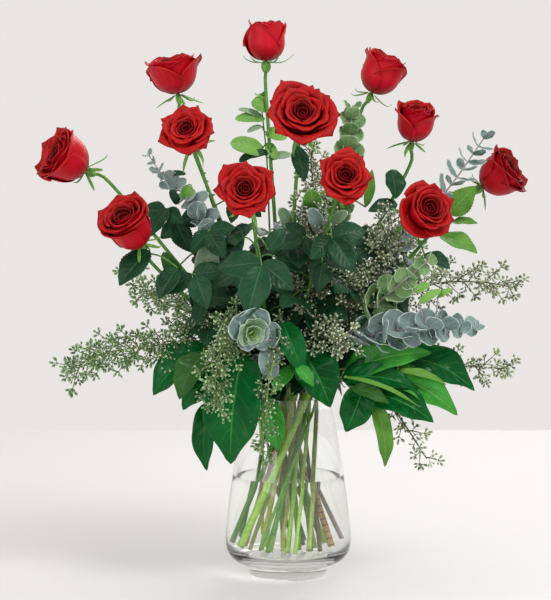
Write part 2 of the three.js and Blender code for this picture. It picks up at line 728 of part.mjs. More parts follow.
/** A point and the direction at a fraction of a line of points, by its length. */
function along(points, fraction) {
  const path = new THREE.CurvePath();
  for (let i = 1; i < points.length; i++) path.add(new THREE.LineCurve3(points[i - 1], points[i]));
  return { point: path.getPointAt(fraction), direction: path.getTangentAt(fraction) };
}

/** Directions at right angles to a line, turned about it. */
function aside(direction, turn) {
  const level = Math.abs(direction.z) > 0.95 ? vec(1, 0, 0) : UP;
  return vec(0, 0, 0).crossVectors(direction, level).normalize().applyAxisAngle(direction, turn);
}

// The rows of a pair of round leaves, from one leaf's tip over the stem to the other's: each gives
// its place and its half-width as shares of a leaf's length. The middle row lies within the stem.
const PAIR_ROWS = [[-1, 0], [-0.86, 0.34], [-0.5, 0.5], [0, 0], [0.5, 0.5], [0.86, 0.34], [1, 0]];
const SMALL_PAIR_ROWS = [[-1, 0], [-0.6, 0.46], [0, 0], [0.6, 0.46], [1, 0]];
const BROAD_LEAF = 24; // a leaf longer than this has the finer outline
const WAIST = 0.4;

/** A pair of round leaves as one blade threaded on its stem, cupped towards the spray's tip. */
function makeLeafPair(point, direction, out, size, lean) {
  const rows = size > BROAD_LEAF ? PAIR_ROWS : SMALL_PAIR_ROWS;
  const lateral = vec(0, 0, 0).crossVectors(direction, out);
  return blade({
    stations: rows.map(([t]) => t),
    meridians: 4,
    halfWidth: t => (t === 0 ? WAIST : rows.find(([place]) => place === t)[1] * size),
    thickness: row => (rows[row][0] === 0 ? 2 * WAIST : LEAF_THICKNESS),
    place: (t, across, side) => point.clone()
      .addScaledVector(out, 0.86 * size * t)
      .addScaledVector(lateral, across)
      .addScaledVector(direction, lean * size * Math.abs(t) + 0.16 * Math.abs(across) + side),
  });
}

function makeRoundLeafSpray(name, spray, { solids, forks }) {
  spray.paths.forEach(({ start, pairs, size }, p) => {
    for (let pair = 0; pair < pairs; pair++) {
      const share = pair / (pairs - 1);
      const { point, direction } = along(forks[p].points, lerp(start, 0.97, share));
      const leaves = firstClear(name, LEAF_BENDS, ([swing, lift]) => {
        const out = aside(direction, pair * Math.PI / 2 + degToRad(swing));
        const lean = 0.5 + lift / 60;
        return { solid: makeLeafPair(point, direction, out, lerp(size[0], size[1], share), lean) };
      });
      if (leaves) solids.push(leaves.solid);
    }
  });
  return joined(solids);
}

/** A branchlet with seed capsules that swell to either side of it in turn, one at its end. */
function makeSeedBranchlet(root, tip) {
  const direction = tip.clone().sub(root).normalize();
  const sideways = aside(direction, root.x);
  const length = tip.distanceTo(root);
  const seeds = Math.max(1, Math.floor(length / SEED_LENGTH - 0.8));
  const points = [root];
  const radii = [0.9];
  for (let seed = 1; seed <= seeds; seed++) {
    const end = length - (seeds - seed) * SEED_LENGTH;
    const swing = seed === seeds ? 0 : 2 * (seed % 2 ? 1 : -1);
    const at = (back, out) => root.clone()
      .addScaledVector(direction, end - back * SEED_LENGTH)
      .addScaledVector(sideways, out);
    points.push(at(0.9, 0), at(0.4, swing));
    radii.push(0.6, SEED_RADIUS);
  }
  points.push(tip);
  radii.push(0);
  return stalk(points, radii, 3);
}

function makeSeededSpray(name, spray, { solids, forks }) {
  spray.paths.forEach(({ start, branchlets, length }, p) => {
    for (let i = 0; i < branchlets; i++) {
      const share = i / (branchlets - 1);
      const { point, direction } = along(forks[p].points, lerp(start, 0.99, share));
      const branchlet = firstClear(name, LEAF_BENDS, ([swing, lift]) => {
        const out = aside(direction, i * GOLDEN_TURN + degToRad(swing));
        const heading = out.multiplyScalar(1 - 0.5 * share).addScaledVector(direction, 0.6 + degToRad(lift));
        const tip = point.clone().addScaledVector(heading.normalize(), lerp(length[0], length[1], share));
        return { solid: makeSeedBranchlet(point, tip) };
      });
      if (branchlet) solids.push(branchlet.solid);
    }
  });
  return joined(solids);
}

// ------------------------------------------------------------------ the whole arrangement

const nodes = [];
const addNode = (name, solid, look) => nodes.push({ name, solid, look });

const vase = keep("vase", makeVase());
const roses = ROSES.map((rose, i) => makeRose(rose, i + 1));
for (const rose of roses) keep(`rose_bloom_${rose.number}`, rose.inPlace(rose.bloom));

const hips = roses.map(rose => keep(`rose_stem_${rose.number}`, rose.inPlace(makeHip(rose))));

const roseStems = roses.map(rose => {
  const stem = makeRoseStem(rose);
  if (!stem) throw new Error(`rose ${rose.number}: its stem finds no clear way`);
  drillHole(rose, ROSE_STEM_RADIUS, 5);
  return stem;
});

// All stems find their way before any leaf is set on one.
const stems = {};
for (const kind of [LEAF_BRANCHES, ROUND_LEAF_SPRAYS, SEEDED_SPRAYS]) {
  for (const [name, spray] of Object.entries(kind)) {
    stems[name] = makeForks(name, spray, spray.paths.map(path => path.points ?? path), 4);
    drillHole(spray, spray.radius, 4);
  }
}

for (const [name, branch] of Object.entries(LEAF_BRANCHES)) {
  addNode(name, makeLeafBranch(name, branch, stems[name]), LOOKS.glossyLeaf);
}

roses.forEach((rose, i) => {
  const name = `rose_stem_${rose.number}`;
  const parts = [hips[i], roseStems[i].solid];
  for (const [joint, tip, leaflets] of rose.leaves) {
    const root = vec(...joint);
    const leaf = firstClear(name, LEAF_BENDS, bend => ({
      solid: makeRoseLeaf(roseStems[i].points, root, bentTip(root, vec(...tip), vec(0, -0.6, 0.8), bend), leaflets),
    }));
    if (leaf) parts.push(leaf.solid);
  }
  addNode(`rose_bloom_${rose.number}`, rose.bloom, LOOKS.petal);
  addNode(name, joined(parts), LOOKS.roseStem);
});

for (const [name, spray] of Object.entries(ROUND_LEAF_SPRAYS)) {
  addNode(name, makeRoundLeafSpray(name, spray, stems[name]), spray.green ? LOOKS.greenLeaf : LOOKS.blueLeaf);
}
for (const [name, spray] of Object.entries(SEEDED_SPRAYS)) {
  addNode(name, makeSeededSpray(name, spray, stems[name]), LOOKS.seeded);
}
addNode("vase", vase, LOOKS.glass);
addNode("water", makeWater(holes), LOOKS.water);

const arrangement = new THREE.Group();
arrangement.name = "roses_in_a_vase";
for (const { name, solid, look } of nodes) {
  const { vertProperties, triVerts } = solid.simplify(0.05).getMesh();
  const geometry = new THREE.BufferGeometry();
  geometry.setAttribute("position", new THREE.BufferAttribute(vertProperties, 3));
  geometry.setIndex(new THREE.BufferAttribute(triVerts, 1));
  geometry.computeVertexNormals();
  const mesh = new THREE.Mesh(geometry, new THREE.MeshStandardMaterial(look));
  mesh.name = name;
  const rose = roses.find(({ number }) => name === `rose_bloom_${number}`);
  if (rose) {
    mesh.position.copy(rose.base);
    mesh.quaternion.copy(rose.facing);
  }
  arrangement.add(mesh);
}

export default arrangement;
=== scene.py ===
# %% [markdown]
# # Roses in a vase
#
# A florist's arrangement: twelve long-stemmed red roses, glossy broad leaves, round-leaf eucalyptus
# and seeded eucalyptus, standing in water in a clear glass vase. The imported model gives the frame:
# where the vase stands and how far each piece reaches. Everything that shows is made here, in metres,
# in that same frame.

# %% Load the frame
import math
import random

import bmesh
import bpy
from mathutils import Matrix, Quaternion, Vector


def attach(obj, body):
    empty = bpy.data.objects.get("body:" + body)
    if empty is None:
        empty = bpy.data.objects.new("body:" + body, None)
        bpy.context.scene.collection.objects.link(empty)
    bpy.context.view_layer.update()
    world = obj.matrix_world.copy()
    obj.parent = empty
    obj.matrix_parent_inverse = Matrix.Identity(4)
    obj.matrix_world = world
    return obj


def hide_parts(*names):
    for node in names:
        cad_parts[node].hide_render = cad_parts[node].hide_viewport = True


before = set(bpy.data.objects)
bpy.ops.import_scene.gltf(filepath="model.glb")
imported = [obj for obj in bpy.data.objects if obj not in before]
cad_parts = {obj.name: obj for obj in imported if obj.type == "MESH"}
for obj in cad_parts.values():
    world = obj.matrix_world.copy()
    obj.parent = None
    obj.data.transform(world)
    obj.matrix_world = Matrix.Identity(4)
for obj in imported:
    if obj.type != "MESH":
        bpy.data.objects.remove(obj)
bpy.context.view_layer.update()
chance = random.Random(7)
UP = Vector((0, 0, 1))
MM = 0.001  # a millimetre, in the scene's metres


def mm(*place):
    """A place given in millimetres, as a vector in metres."""
    return Vector(place) * MM


def add_object(name, data):
    """An object for a mesh, a camera or a light, linked to the scene."""
    made = bpy.data.objects.new(name, data)
    bpy.context.scene.collection.objects.link(made)
    return made


# %% [markdown]
# ## Camera
#
# The picture was taken a little above the middle of the flowers, with a long lens, looking slightly
# down. The camera stands 2.2 m away and its lens makes the arrangement fill the frame. `sight` turns
# a place in the 551 x 600 picture into a point at a chosen depth, which is handy for placing leaves.

# %% Camera
CAMERA_PLACE = mm(-14.336, -2200, 470)
CAMERA_DOWN = math.radians(4.1468)
LENS, SENSOR = 117.857, 36
PICTURE_WIDE, PICTURE_TALL = 551, 600
PIXEL = 0.00112  # metres that a pixel of the picture spans at the vase
FOOT_SEEN = (288.3, 573)  # the middle of the vase's foot in the picture, across and down

camera_data = bpy.data.cameras.new("camera")
camera_data.lens, camera_data.sensor_width, camera_data.sensor_fit = LENS, SENSOR, "AUTO"
camera = add_object("camera", camera_data)
camera.location = CAMERA_PLACE
camera.rotation_euler = (math.pi / 2 - CAMERA_DOWN, 0, 0)
bpy.context.scene.camera = camera


def sight(across, down, depth):
    """The point seen at a place of the picture, at a depth (y, in millimetres)."""
    focal = LENS / SENSOR * PICTURE_TALL
    right = (across - PICTURE_WIDE / 2) / focal
    rise = (PICTURE_TALL / 2 - down) / focal
    forward = Vector((0, math.cos(CAMERA_DOWN), -math.sin(CAMERA_DOWN)))
    upward = Vector((0, math.sin(CAMERA_DOWN), math.cos(CAMERA_DOWN)))
    ray = forward + Vector((right, 0, 0)) + upward * rise
    return CAMERA_PLACE + ray * ((depth * MM - CAMERA_PLACE.y) / ray.y)


print("the foot of the vase is seen at", [round(v, 3) for v in sight(*FOOT_SEEN, 0)])

# %% [markdown]
# ## Materials
#
# Every finish is a recipe of shader nodes on one Principled shader. The small `Recipe` class keeps
# the wiring short: each method adds a node and returns its output, so a pattern reads like a formula.
# Leaves and petals carry a UV map that runs across them (x) and from root to tip (y), so veins and
# colour changes follow the leaf. A `tint` attribute gives each leaf its own shade. On petals it
# also carries painted shade: it is higher on the inner petals and on blooms that lie in shadow.

# %% Material helpers
class Recipe:
    """A material on one Principled shader, with helpers that add its pattern nodes."""

    def __init__(self, name, **settings):
        self.material = bpy.data.materials.new(name)
        self.material.use_nodes = True
        self.tree = self.material.node_tree
        self.shader = self.tree.nodes["Principled BSDF"]
        for socket, value in settings.items():
            self.shader.inputs[socket.replace("_", " ")].default_value = value

    def node(self, kind, inputs=(), **settings):
        made = self.tree.nodes.new(kind)
        for setting, value in settings.items():
            setattr(made, setting, value)
        for socket, value in dict(inputs).items():
            if isinstance(value, bpy.types.NodeSocket):
                self.tree.links.new(value, made.inputs[socket])
            else:
                made.inputs[socket].default_value = value
        return made

    def put(self, socket, value):
        self.tree.links.new(value, self.shader.inputs[socket])

    def math(self, operation, a, b=0.0):
        return self.node("ShaderNodeMath", {0: a, 1: b}, operation=operation).outputs[0]

    def times(self, a, b):
        return self.math("MULTIPLY", a, b)

    def plus(self, a, b):
        return self.math("ADD", a, b)

    def minus(self, a, b):
        return self.math("SUBTRACT", a, b)

    def place(self):
        return self.node("ShaderNodeTexCoord").outputs["Object"]

    def sheet(self):
        """The piece's own coordinates: across it, and from root to tip."""
        parts = self.node("ShaderNodeSeparateXYZ", {0: self.node("ShaderNodeUVMap").outputs[0]})
        return parts.outputs[0], parts.outputs[1]

    def joined(self, x, y, z=0.0):
        return self.node("ShaderNodeCombineXYZ", {0: x, 1: y, 2: z}).outputs[0]

    def attribute(self, name):
        return self.node("ShaderNodeAttribute", attribute_name=name).outputs["Fac"]

    def noise(self, vector, scale, detail=3.0):
        inputs = {"Vector": vector, "Scale": scale, "Detail": detail, "Roughness": 0.6}
        return self.node("ShaderNodeTexNoise", inputs).outputs["Fac"]

    def spread(self, value, low, high, to_low=0.0, to_high=1.0):
        """A value stretched from one range to another, held within it."""
        inputs = {"Value": value, "From Min": low, "From Max": high, "To Min": to_low, "To Max": to_high}
        return self.node("ShaderNodeMapRange", inputs, interpolation_type="SMOOTHSTEP").outputs[0]

    def blend(self, share, first, second):
        mixer = self.node("ShaderNodeMix", {0: share}, data_type="RGBA")
        for socket, value in ((6, first), (7, second)):
            if isinstance(value, bpy.types.NodeSocket):
                self.tree.links.new(value, mixer.inputs[socket])
            else:
                mixer.inputs[socket].default_value = (*value, 1)
        return mixer.outputs[2]

    def bump(self, height, strength, distance=0.001):
        inputs = {"Height": height, "Strength": strength, "Distance": distance}
        self.put("Normal", self.node("ShaderNodeBump", inputs).outputs[0])


# %% [markdown]
# ## Petals
#
# A rose petal is two surfaces. Its inner face is a deep velvety red that swallows light, and its back
# is a smoother crimson with a pinker shine. So the petals get two materials: the Solidify modifier
# that gives them thickness hands the second one to their inner side. Fine ribs fan from the base.
# Some light and shade is painted into the red as well: painted shade darkens each petal towards its
# base, the inner petals deep in a bloom and whole blooms that lie in shadow, and a painted highlight
# makes the rolled rim paler.

# %% Petal materials
DARK_TIP = (0.06, 0.004, 0.004)  # the brown of a petal's very tip


def petal_material(name, base, deep, pale, roughness, sheen, ribs):
    recipe = Recipe(name, Roughness=roughness, Sheen_Weight=sheen, Sheen_Roughness=0.4,
                    Sheen_Tint=(1, 0.25, 0.3, 1), Specular_IOR_Level=0.2)
    across, along = recipe.sheet()
    fan = recipe.joined(recipe.times(across, 26.0), recipe.times(along, 1.6), recipe.attribute("tint"))
    shade = recipe.noise(fan, 1.0)
    soft = recipe.noise(recipe.place(), 60.0)
    colour = recipe.blend(recipe.spread(shade, 0.35, 0.7, 0.0, 0.35), base, deep)
    # painted shade: each petal darkens towards its base, where the petals overlap and little light gets in
    colour = recipe.blend(recipe.spread(along, 0.6, 0.15), colour, deep)
    # painted highlight: the rolled rim is paler, as an edge that catches the light
    edge = recipe.times(recipe.spread(along, 0.86, 1.0), recipe.spread(soft, 0.35, 0.6))
    colour = recipe.blend(recipe.times(edge, 0.6), colour, pale)
    # The very tip of each petal turns a dark red-brown.
    at_tip = recipe.spread(along, 0.95, 1.0)
    aside = recipe.math("ABSOLUTE", recipe.minus(across, 0.5))
    tip = recipe.times(at_tip, recipe.spread(aside, 0.12, 0.0))
    colour = recipe.blend(recipe.times(tip, 0.7), colour, DARK_TIP)
    # painted shade: a high tint darkens the inner petals deep in the bloom and whole blooms in shadow
    inner = recipe.spread(recipe.attribute("tint"), 0.1, 1.0, 0.0, 0.9)
    recipe.put("Base Color", recipe.blend(inner, colour, deep))
    recipe.bump(recipe.plus(shade, soft), ribs, 0.6 * MM)
    return recipe.material


# Per finish: the base red, the deep red of the painted shade, and the pale red of the painted rim highlight.
petal_back = petal_material("petal_back", (0.58, 0.003, 0.016), (0.30, 0.0, 0.006), (0.62, 0.008, 0.02),
                            roughness=0.42, sheen=0.04, ribs=0.35)
petal_face = petal_material("petal_face", (0.42, 0.002, 0.002), (0.07, 0.0, 0.001), (0.58, 0.01, 0.006),
                            roughness=0.55, sheen=0.02, ribs=0.3)
print("petal finishes:", petal_back.name, petal_face.name)

# %% [markdown]
# ## Leaf finishes
#
# Each kind of leaf has a finish of its own: the rose's leaves are dark with paler veins, the broad
# leaves are glossy with yellow-green ribs, and eucalyptus is matt, blue-grey or fresh green, with a
# pale rim. One recipe makes them all. It draws the midrib and the slanted side veins from the UV map,
# and `rim` adds the paler edge.

# %% Rose leaf and broad leaf finishes
def leaf_material(name, dark, light, rib, roughness, veins, vein_lift, shine=0.3, rim=None):
    recipe = Recipe(name, Specular_IOR_Level=shine)
    across, along = recipe.sheet()
    tint = recipe.attribute("tint")
    aside = recipe.math("ABSOLUTE", recipe.minus(across, 0.5))
    midrib = recipe.spread(aside, 0.03, 0.008)
    slanted = recipe.minus(recipe.times(along, float(veins)), recipe.times(aside, veins * 0.55))
    wave = recipe.math("PINGPONG", slanted, 0.5)
    side_vein = recipe.times(recipe.spread(wave, 0.07, 0.0), recipe.spread(aside, 0.5, 0.2))
    mottle = recipe.noise(recipe.place(), 45.0)
    colour = recipe.blend(recipe.spread(mottle, 0.3, 0.75), dark, light)
    colour = recipe.blend(recipe.spread(tint, 0.0, 1.0, 0.0, 0.75), colour, light)
    vein = recipe.math("MAXIMUM", midrib, recipe.times(side_vein, 0.5))
    colour = recipe.blend(recipe.times(vein, 0.7), colour, rib)
    if rim:
        edge = recipe.math("MAXIMUM", recipe.spread(aside, 0.43, 0.5), recipe.spread(along, 0.92, 1.0))
        colour = recipe.blend(recipe.times(edge, 0.8), colour, rim)
    recipe.put("Base Color", colour)
    recipe.put("Roughness", recipe.spread(mottle, 0.2, 0.8, roughness - 0.08, roughness + 0.1))
    height = recipe.minus(recipe.times(wave, 1.2), vein)
    recipe.bump(height, vein_lift, 1.2 * MM)
    return recipe.material


rose_leaf = leaf_material("rose_leaf", (0.003, 0.024, 0.009), (0.014, 0.074, 0.030), (0.06, 0.15, 0.07),
                          roughness=0.34, veins=7, vein_lift=0.24, shine=0.18, rim=(0.022, 0.085, 0.038))
rose_leaf_back = leaf_material("rose_leaf_back", (0.03, 0.09, 0.045), (0.07, 0.15, 0.08),
                               (0.14, 0.24, 0.13), roughness=0.5, veins=7, vein_lift=0.35)
rose_leaf_light = leaf_material("rose_leaf_light", (0.05, 0.20, 0.02), (0.14, 0.34, 0.05),
                                (0.24, 0.46, 0.12), roughness=0.40, veins=7, vein_lift=0.3, shine=0.2)
glossy_leaf = leaf_material("glossy_leaf", (0.0006, 0.052, 0.009), (0.003, 0.120, 0.020),
                            (0.04, 0.28, 0.05), roughness=0.24, veins=6, vein_lift=0.5, shine=0.15)
# painted light: a brighter, yellower version of glossy_leaf for the leaves that the light shines through
lit_leaf = leaf_material("lit_leaf", (0.008, 0.150, 0.016), (0.05, 0.32, 0.04), (0.20, 0.48, 0.10),
                         roughness=0.26, veins=6, vein_lift=0.5, shine=0.22)
olive_leaf = leaf_material("olive_leaf", (0.010, 0.055, 0.010), (0.032, 0.120, 0.020), (0.07, 0.20, 0.04),
                           roughness=0.34, veins=6, vein_lift=0.4, shine=0.16)
glossy_back = leaf_material("glossy_back", (0.06, 0.20, 0.025), (0.14, 0.34, 0.05), (0.26, 0.48, 0.11),
                            roughness=0.45, veins=6, vein_lift=0.5, shine=0.2)
print("finishes so far", len(bpy.data.materials))

# %% Round leaf finishes
blue_leaf = leaf_material("blue_leaf", (0.07, 0.14, 0.125), (0.29, 0.39, 0.38), (0.40, 0.50, 0.48),
                          roughness=0.6, veins=5, vein_lift=0.3, rim=(0.70, 0.80, 0.76))
soft_leaf = leaf_material("soft_leaf", (0.10, 0.23, 0.11), (0.28, 0.42, 0.26), (0.42, 0.55, 0.38),
                          roughness=0.55, veins=5, vein_lift=0.3, rim=(0.55, 0.68, 0.52))
fresh_leaf = leaf_material("fresh_leaf", (0.08, 0.22, 0.07), (0.28, 0.44, 0.20), (0.40, 0.56, 0.30),
                           roughness=0.5, veins=5, vein_lift=0.3, rim=(0.55, 0.70, 0.46))
green_round = leaf_material("green_round", (0.07, 0.26, 0.03), (0.20, 0.44, 0.08), (0.34, 0.56, 0.18),
                            roughness=0.45, veins=6, vein_lift=0.3, rim=(0.34, 0.56, 0.20))
print("finishes so far", len(bpy.data.materials))

# %% [markdown]
# ## Stem and seed finishes
#
# Cut stems are never one green: young ones are bright, others olive, mauve or grey, and a woody cane
# is tan with dark rings where leaves have fallen. One recipe covers them all. Its streaks run along
# the stem because the noise is stretched on the UV map, and `rings` adds the dark bands. Seed
# capsules are finely speckled and fade from a dark root to a pale, waxy mouth.

# %% Stem finishes
RING_BROWN = (0.05, 0.03, 0.015)


def stem_material(name, dark, light, roughness=0.45, rings=0):
    recipe = Recipe(name, Roughness=roughness, Specular_IOR_Level=0.4)
    across, along = recipe.sheet()
    streak = recipe.noise(recipe.joined(recipe.times(across, 5.0), recipe.times(along, 4.0)), 2.0, 4.0)
    speck = recipe.noise(recipe.place(), 240.0, 4.0)
    grain = recipe.plus(recipe.times(streak, 0.6), recipe.times(speck, 0.4))
    colour = recipe.blend(recipe.spread(grain, 0.35, 0.65), dark, light)
    height = grain
    if rings:
        wobble = recipe.plus(recipe.times(along, float(rings)), recipe.times(streak, 0.5))
        ring = recipe.spread(recipe.math("PINGPONG", wobble, 0.5), 0.09, 0.02)
        colour = recipe.blend(ring, colour, RING_BROWN)
        height = recipe.minus(grain, ring)
    recipe.put("Base Color", colour)
    recipe.bump(height, 0.25, 0.8 * MM)
    return recipe.material


green_stem = stem_material("green_stem", (0.035, 0.16, 0.015), (0.14, 0.35, 0.05))
bright_stem = stem_material("bright_stem", (0.16, 0.40, 0.03), (0.40, 0.62, 0.10))
pale_stem = stem_material("pale_stem", (0.42, 0.50, 0.06), (0.70, 0.72, 0.20))
olive_stem = stem_material("olive_stem", (0.12, 0.20, 0.03), (0.34, 0.42, 0.12))
mauve_stem = stem_material("mauve_stem", (0.34, 0.09, 0.08), (0.56, 0.32, 0.26))
grey_stem = stem_material("grey_stem", (0.28, 0.23, 0.25), (0.55, 0.48, 0.50), 0.6)
brown_stem = stem_material("brown_stem", (0.06, 0.055, 0.03), (0.16, 0.16, 0.085), 0.6)
cane_stem = stem_material("cane_stem", (0.34, 0.19, 0.07), (0.60, 0.42, 0.20), 0.5, rings=26)
sepal_green = stem_material("sepal_green", (0.07, 0.26, 0.03), (0.22, 0.46, 0.09))
print("finishes so far", len(bpy.data.materials))

# %% Seed finishes
def seed_material(name, dark, light, blush):
    recipe = Recipe(name, Roughness=0.38, Sheen_Weight=0.05, Specular_IOR_Level=0.4)
    along = recipe.sheet()[1]
    speck = recipe.noise(recipe.place(), 900.0, 2.0)
    colour = recipe.blend(recipe.attribute("tint"), dark, light)
    colour = recipe.blend(recipe.spread(along, 0.4, 0.95, 0.0, 0.9), colour, blush)
    recipe.put("Base Color", recipe.blend(recipe.spread(speck, 0.5, 0.7, 0.0, 0.4), colour, dark))
    return recipe.material


green_seed = seed_material("green_seed", (0.05, 0.13, 0.035), (0.22, 0.36, 0.14), (0.58, 0.72, 0.44))
brown_seed = seed_material("brown_seed", (0.05, 0.09, 0.035), (0.38, 0.48, 0.26), (0.86, 0.90, 0.68))
print("finishes for all plants", len(bpy.data.materials))

# %% [markdown]
# ## Shapes from a grid
#
# Almost everything here is a bent sheet or a tube, and both start as a flat grid of quads from
# `create_grid`, which also gives the UV map. `bent_grid` moves each point of it to where a rule
# says: across the sheet and along it for a leaf, round and along it for a stem. Seams and poles are
# merged afterwards, so tubes come out closed. Sheets get their thickness from a Solidify modifier.

# %% Shape helpers
THIN_WALL = 0.0004  # the thickness of petals and leaflets, in metres
LEAF_WALL = 0.0005  # the thickness of sepals and larger leaves
CURVE_STEPS = 12  # the fineness of a curve between two of the places that it goes through


def any_turn():
    """A random angle in radians."""
    return chance.uniform(0, 6.3)


def new_shape():
    shape = bmesh.new()
    shape.loops.layers.uv.new("UVMap")
    shape.verts.layers.float.new("tint")
    return shape


def bent_grid(shape, across, along, rule, tint=0.0):
    """A grid of quads with each point moved to rule(x, y), x and y running from 0 to 1."""
    layer = shape.verts.layers.float["tint"]
    made = bmesh.ops.create_grid(shape, x_segments=across, y_segments=along, size=1, calc_uvs=True)
    for vert in made["verts"]:
        vert.co = rule((vert.co.x + 1) / 2, (vert.co.y + 1) / 2)
        vert[layer] = tint
    return made["verts"]


def merge_seams(shape, verts):
    """Joins the points that lie on each other, where a tube closes."""
    bmesh.ops.remove_doubles(shape, verts=verts, dist=1e-6)


def steady_frames(points):
    """A direction and a sideways vector at each point of a line, turning as little as possible."""
    frames = []
    side = None
    for i in range(len(points)):
        before, after = points[max(i - 1, 0)], points[min(i + 1, len(points) - 1)]
        along = (after - before).normalized()
        if side is None:
            side = along.cross(Vector((0, 1, 0.01)))
        side = (side - along * side.dot(along)).normalized()
        frames.append((along, side))
    return frames


def tube(shape, points, radii, sides, tint=0.0):
    """A closed round tube along a line of points, with a radius at each."""
    frames = steady_frames(points)
    points = [points[0], *points, points[-1]]
    frames = [frames[0], *frames, frames[-1]]
    radii = [0, *radii, 0]

    def rule(x, y):
        row = round(y * (len(points) - 1))
        along, side = frames[row]
        turn = math.tau * x
        out = side * math.cos(turn) + along.cross(side) * math.sin(turn)
        return points[row] + out * radii[row]

    merge_seams(shape, bent_grid(shape, sides, len(points) - 1, rule, tint))


def smooth_line(places, steps):
    """Evenly spaced points on a smooth curve through the given places."""
    knots = [places[0] * 2 - places[1], *places, places[-1] * 2 - places[-2]]
    fine = []
    for i in range(1, len(knots) - 2):
        a, b, c, d = knots[i - 1:i + 3]
        for step in range(CURVE_STEPS):
            t = step / CURVE_STEPS
            fine.append(0.5 * (2 * b + (c - a) * t + (2 * a - 5 * b + 4 * c - d) * t * t
                               + (3 * b - a - 3 * c + d) * t ** 3))
    fine.append(places[-1].copy())
    lengths = [0]
    for before, after in zip(fine, fine[1:]):
        lengths.append(lengths[-1] + (after - before).length)
    line, at = [], 0
    for step in range(steps + 1):
        goal = lengths[-1] * step / steps
        while at < len(fine) - 2 and lengths[at + 1] < goal:
            at += 1
        share = (goal - lengths[at]) / max(lengths[at + 1] - lengths[at], 1e-9)
        line.append(fine[at].lerp(fine[at + 1], min(share, 1)))
    return line


def as_mesh(shape, name):
    mesh = bpy.data.meshes.new(name)
    shape.to_mesh(mesh)
    shape.free()
    return mesh


def finish(shape, name, materials, nodes, thickness=0.0, inner=0):
    """Turns a shape, unless it is empty, into a piece that stands for its nodes of the frame."""
    if not shape.verts:
        shape.free()
        return
    mesh = as_mesh(shape, name)
    mesh.shade_smooth()
    piece = add_object(name, mesh)
    for material in materials:
        mesh.materials.append(material)
    if thickness:
        wall = piece.modifiers.new("thickness", "SOLIDIFY")
        wall.thickness, wall.offset = thickness, -1
        wall.material_offset = inner
    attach(piece, "root")
    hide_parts(*nodes)
    print(name, len(mesh.polygons), "faces")


# %% Blending helpers
def eased(value, low=0.0, high=1.0):
    """How far a value has come from low to high, as a share that starts and ends gently."""
    share = min(max((value - low) / (high - low), 0), 1)
    return share * share * (3 - 2 * share)


def mixed(a, b, share):
    return a + (b - a) * share


print("halfway, and a tenth, eased", eased(0.5), round(eased(0.1), 3))

# %% [markdown]
# ## Where the stems run
#
# The stems cross in the neck of the vase like a twisted sheaf: each lies on one of four nested rings
# and leans the same way round, so that none meets another. Above the lip each one bends off towards
# its bloom. These are the same rings and places as the frame's.

# %% Stem layout
VASE_HEIGHT = 205
CROSSING = 150
# Per ring, in millimetres: its distance from the axis at the crossing, its lean, its feet's height.
RINGS = [(5, 0.08, 28), (13, 0.2, 29), (21.5, 0.32, 31), (30.5, 0.42, 36)]
print("the stems' feet stand at heights of", [foot for _, _, foot in RINGS], "mm")


def neck_point(ring, azimuth, height):
    """A point of a stem's straight length through the neck, at a height."""
    offset, slope, _ = RINGS[ring]
    angle = math.radians(azimuth)
    travel = (height - CROSSING) * slope
    return mm(offset * math.sin(angle) + travel * math.cos(angle),
              -offset * math.cos(angle) + travel * math.sin(angle), height)


def stem_line(ring, azimuth, places, steps):
    """A stem from the lip of the vase on through its places."""
    start = [neck_point(ring, azimuth, VASE_HEIGHT + rise) for rise in (0, 25)]
    return smooth_line(start + places, steps)


# %% [markdown]
# ## Roses: the petals
#
# A bloom is twenty to thirty petals in whorls. Each petal starts near the base, swells out into a belly,
# climbs, and flares outwards over its last part. Its rim then rolls back tightly. The roll starts at a
# fold line that is highest in the middle and runs down to both sides, which is what gives an open
# rose its pointed corners. `petal_line` walks up one line of a petal, turning a little at each step
# like a bent strip of paper. Inner petals wrap far round the heart in a tight spiral, outer ones lie
# further open, and `open` moves a bloom from bud to full. For the roses that face the viewer,
# `corners` lists where the outer petals' tips are seen in the picture.

# %% Whorls of petals
PETAL_ROWS, PETAL_COLUMNS = 20, 14
PETAL_STEPS = 6  # small turns of a petal's line from one row of its grid to the next
OUTER_SPREAD, OUTER_LEVEL = 50, 0.78  # half angle and height of the outer petals whose tips are listed
BLOOM_MIDDLE = 0.46  # how far up a bloom its centre lies
# Per whorl: petals, rim radius and height as shares of the bloom, half angle and flare in degrees, limb
# length, rim roll in degrees, the fold's slope, and how far a bud's petal dips at its sides. Pairs give
# the bud's value and the full bloom's.
WHORLS = [
    dict(count=(3, 3), radius=(0.09, 0.07), height=(0.84, 0.70), spread=(150, 150), flare=(0, 0), limb=2,
         roll=(0, 0), fold=0.03),
    dict(count=(3, 3), radius=(0.22, 0.15), height=(0.90, 0.76), spread=(120, 125), flare=(0, 4), limb=3,
         roll=(0, 15), fold=0.05),
    dict(count=(3, 3), radius=(0.38, 0.25), height=(0.95, 0.82), spread=(100, 104), flare=(0, 12), limb=4,
         roll=(10, 35), fold=0.07),
    dict(count=(3, 4), radius=(0.55, 0.40), height=(1.00, 0.88), spread=(85, 80), flare=(2, 26), limb=6,
         roll=(20, 70), fold=0.10),
    dict(count=(3, 4), radius=(0.72, 0.58), height=(1.00, 0.92), spread=(80, 74), flare=(4, 42), limb=7,
         roll=(30, 100), fold=0.12),
    dict(count=(3, 5), radius=(0.87, 0.82), height=(1.00, 0.90), spread=(78, 60), flare=(6, 58), limb=9,
         roll=(60, 130), fold=0.13, dip=0.16),
    dict(count=(3, 5), radius=(1.00, 1.08), height=(0.97, 0.78), spread=(76, 62), flare=(10, 78), limb=11,
         roll=(110, 170), fold=0.14, dip=0.34),
]
print("whorls", len(WHORLS))
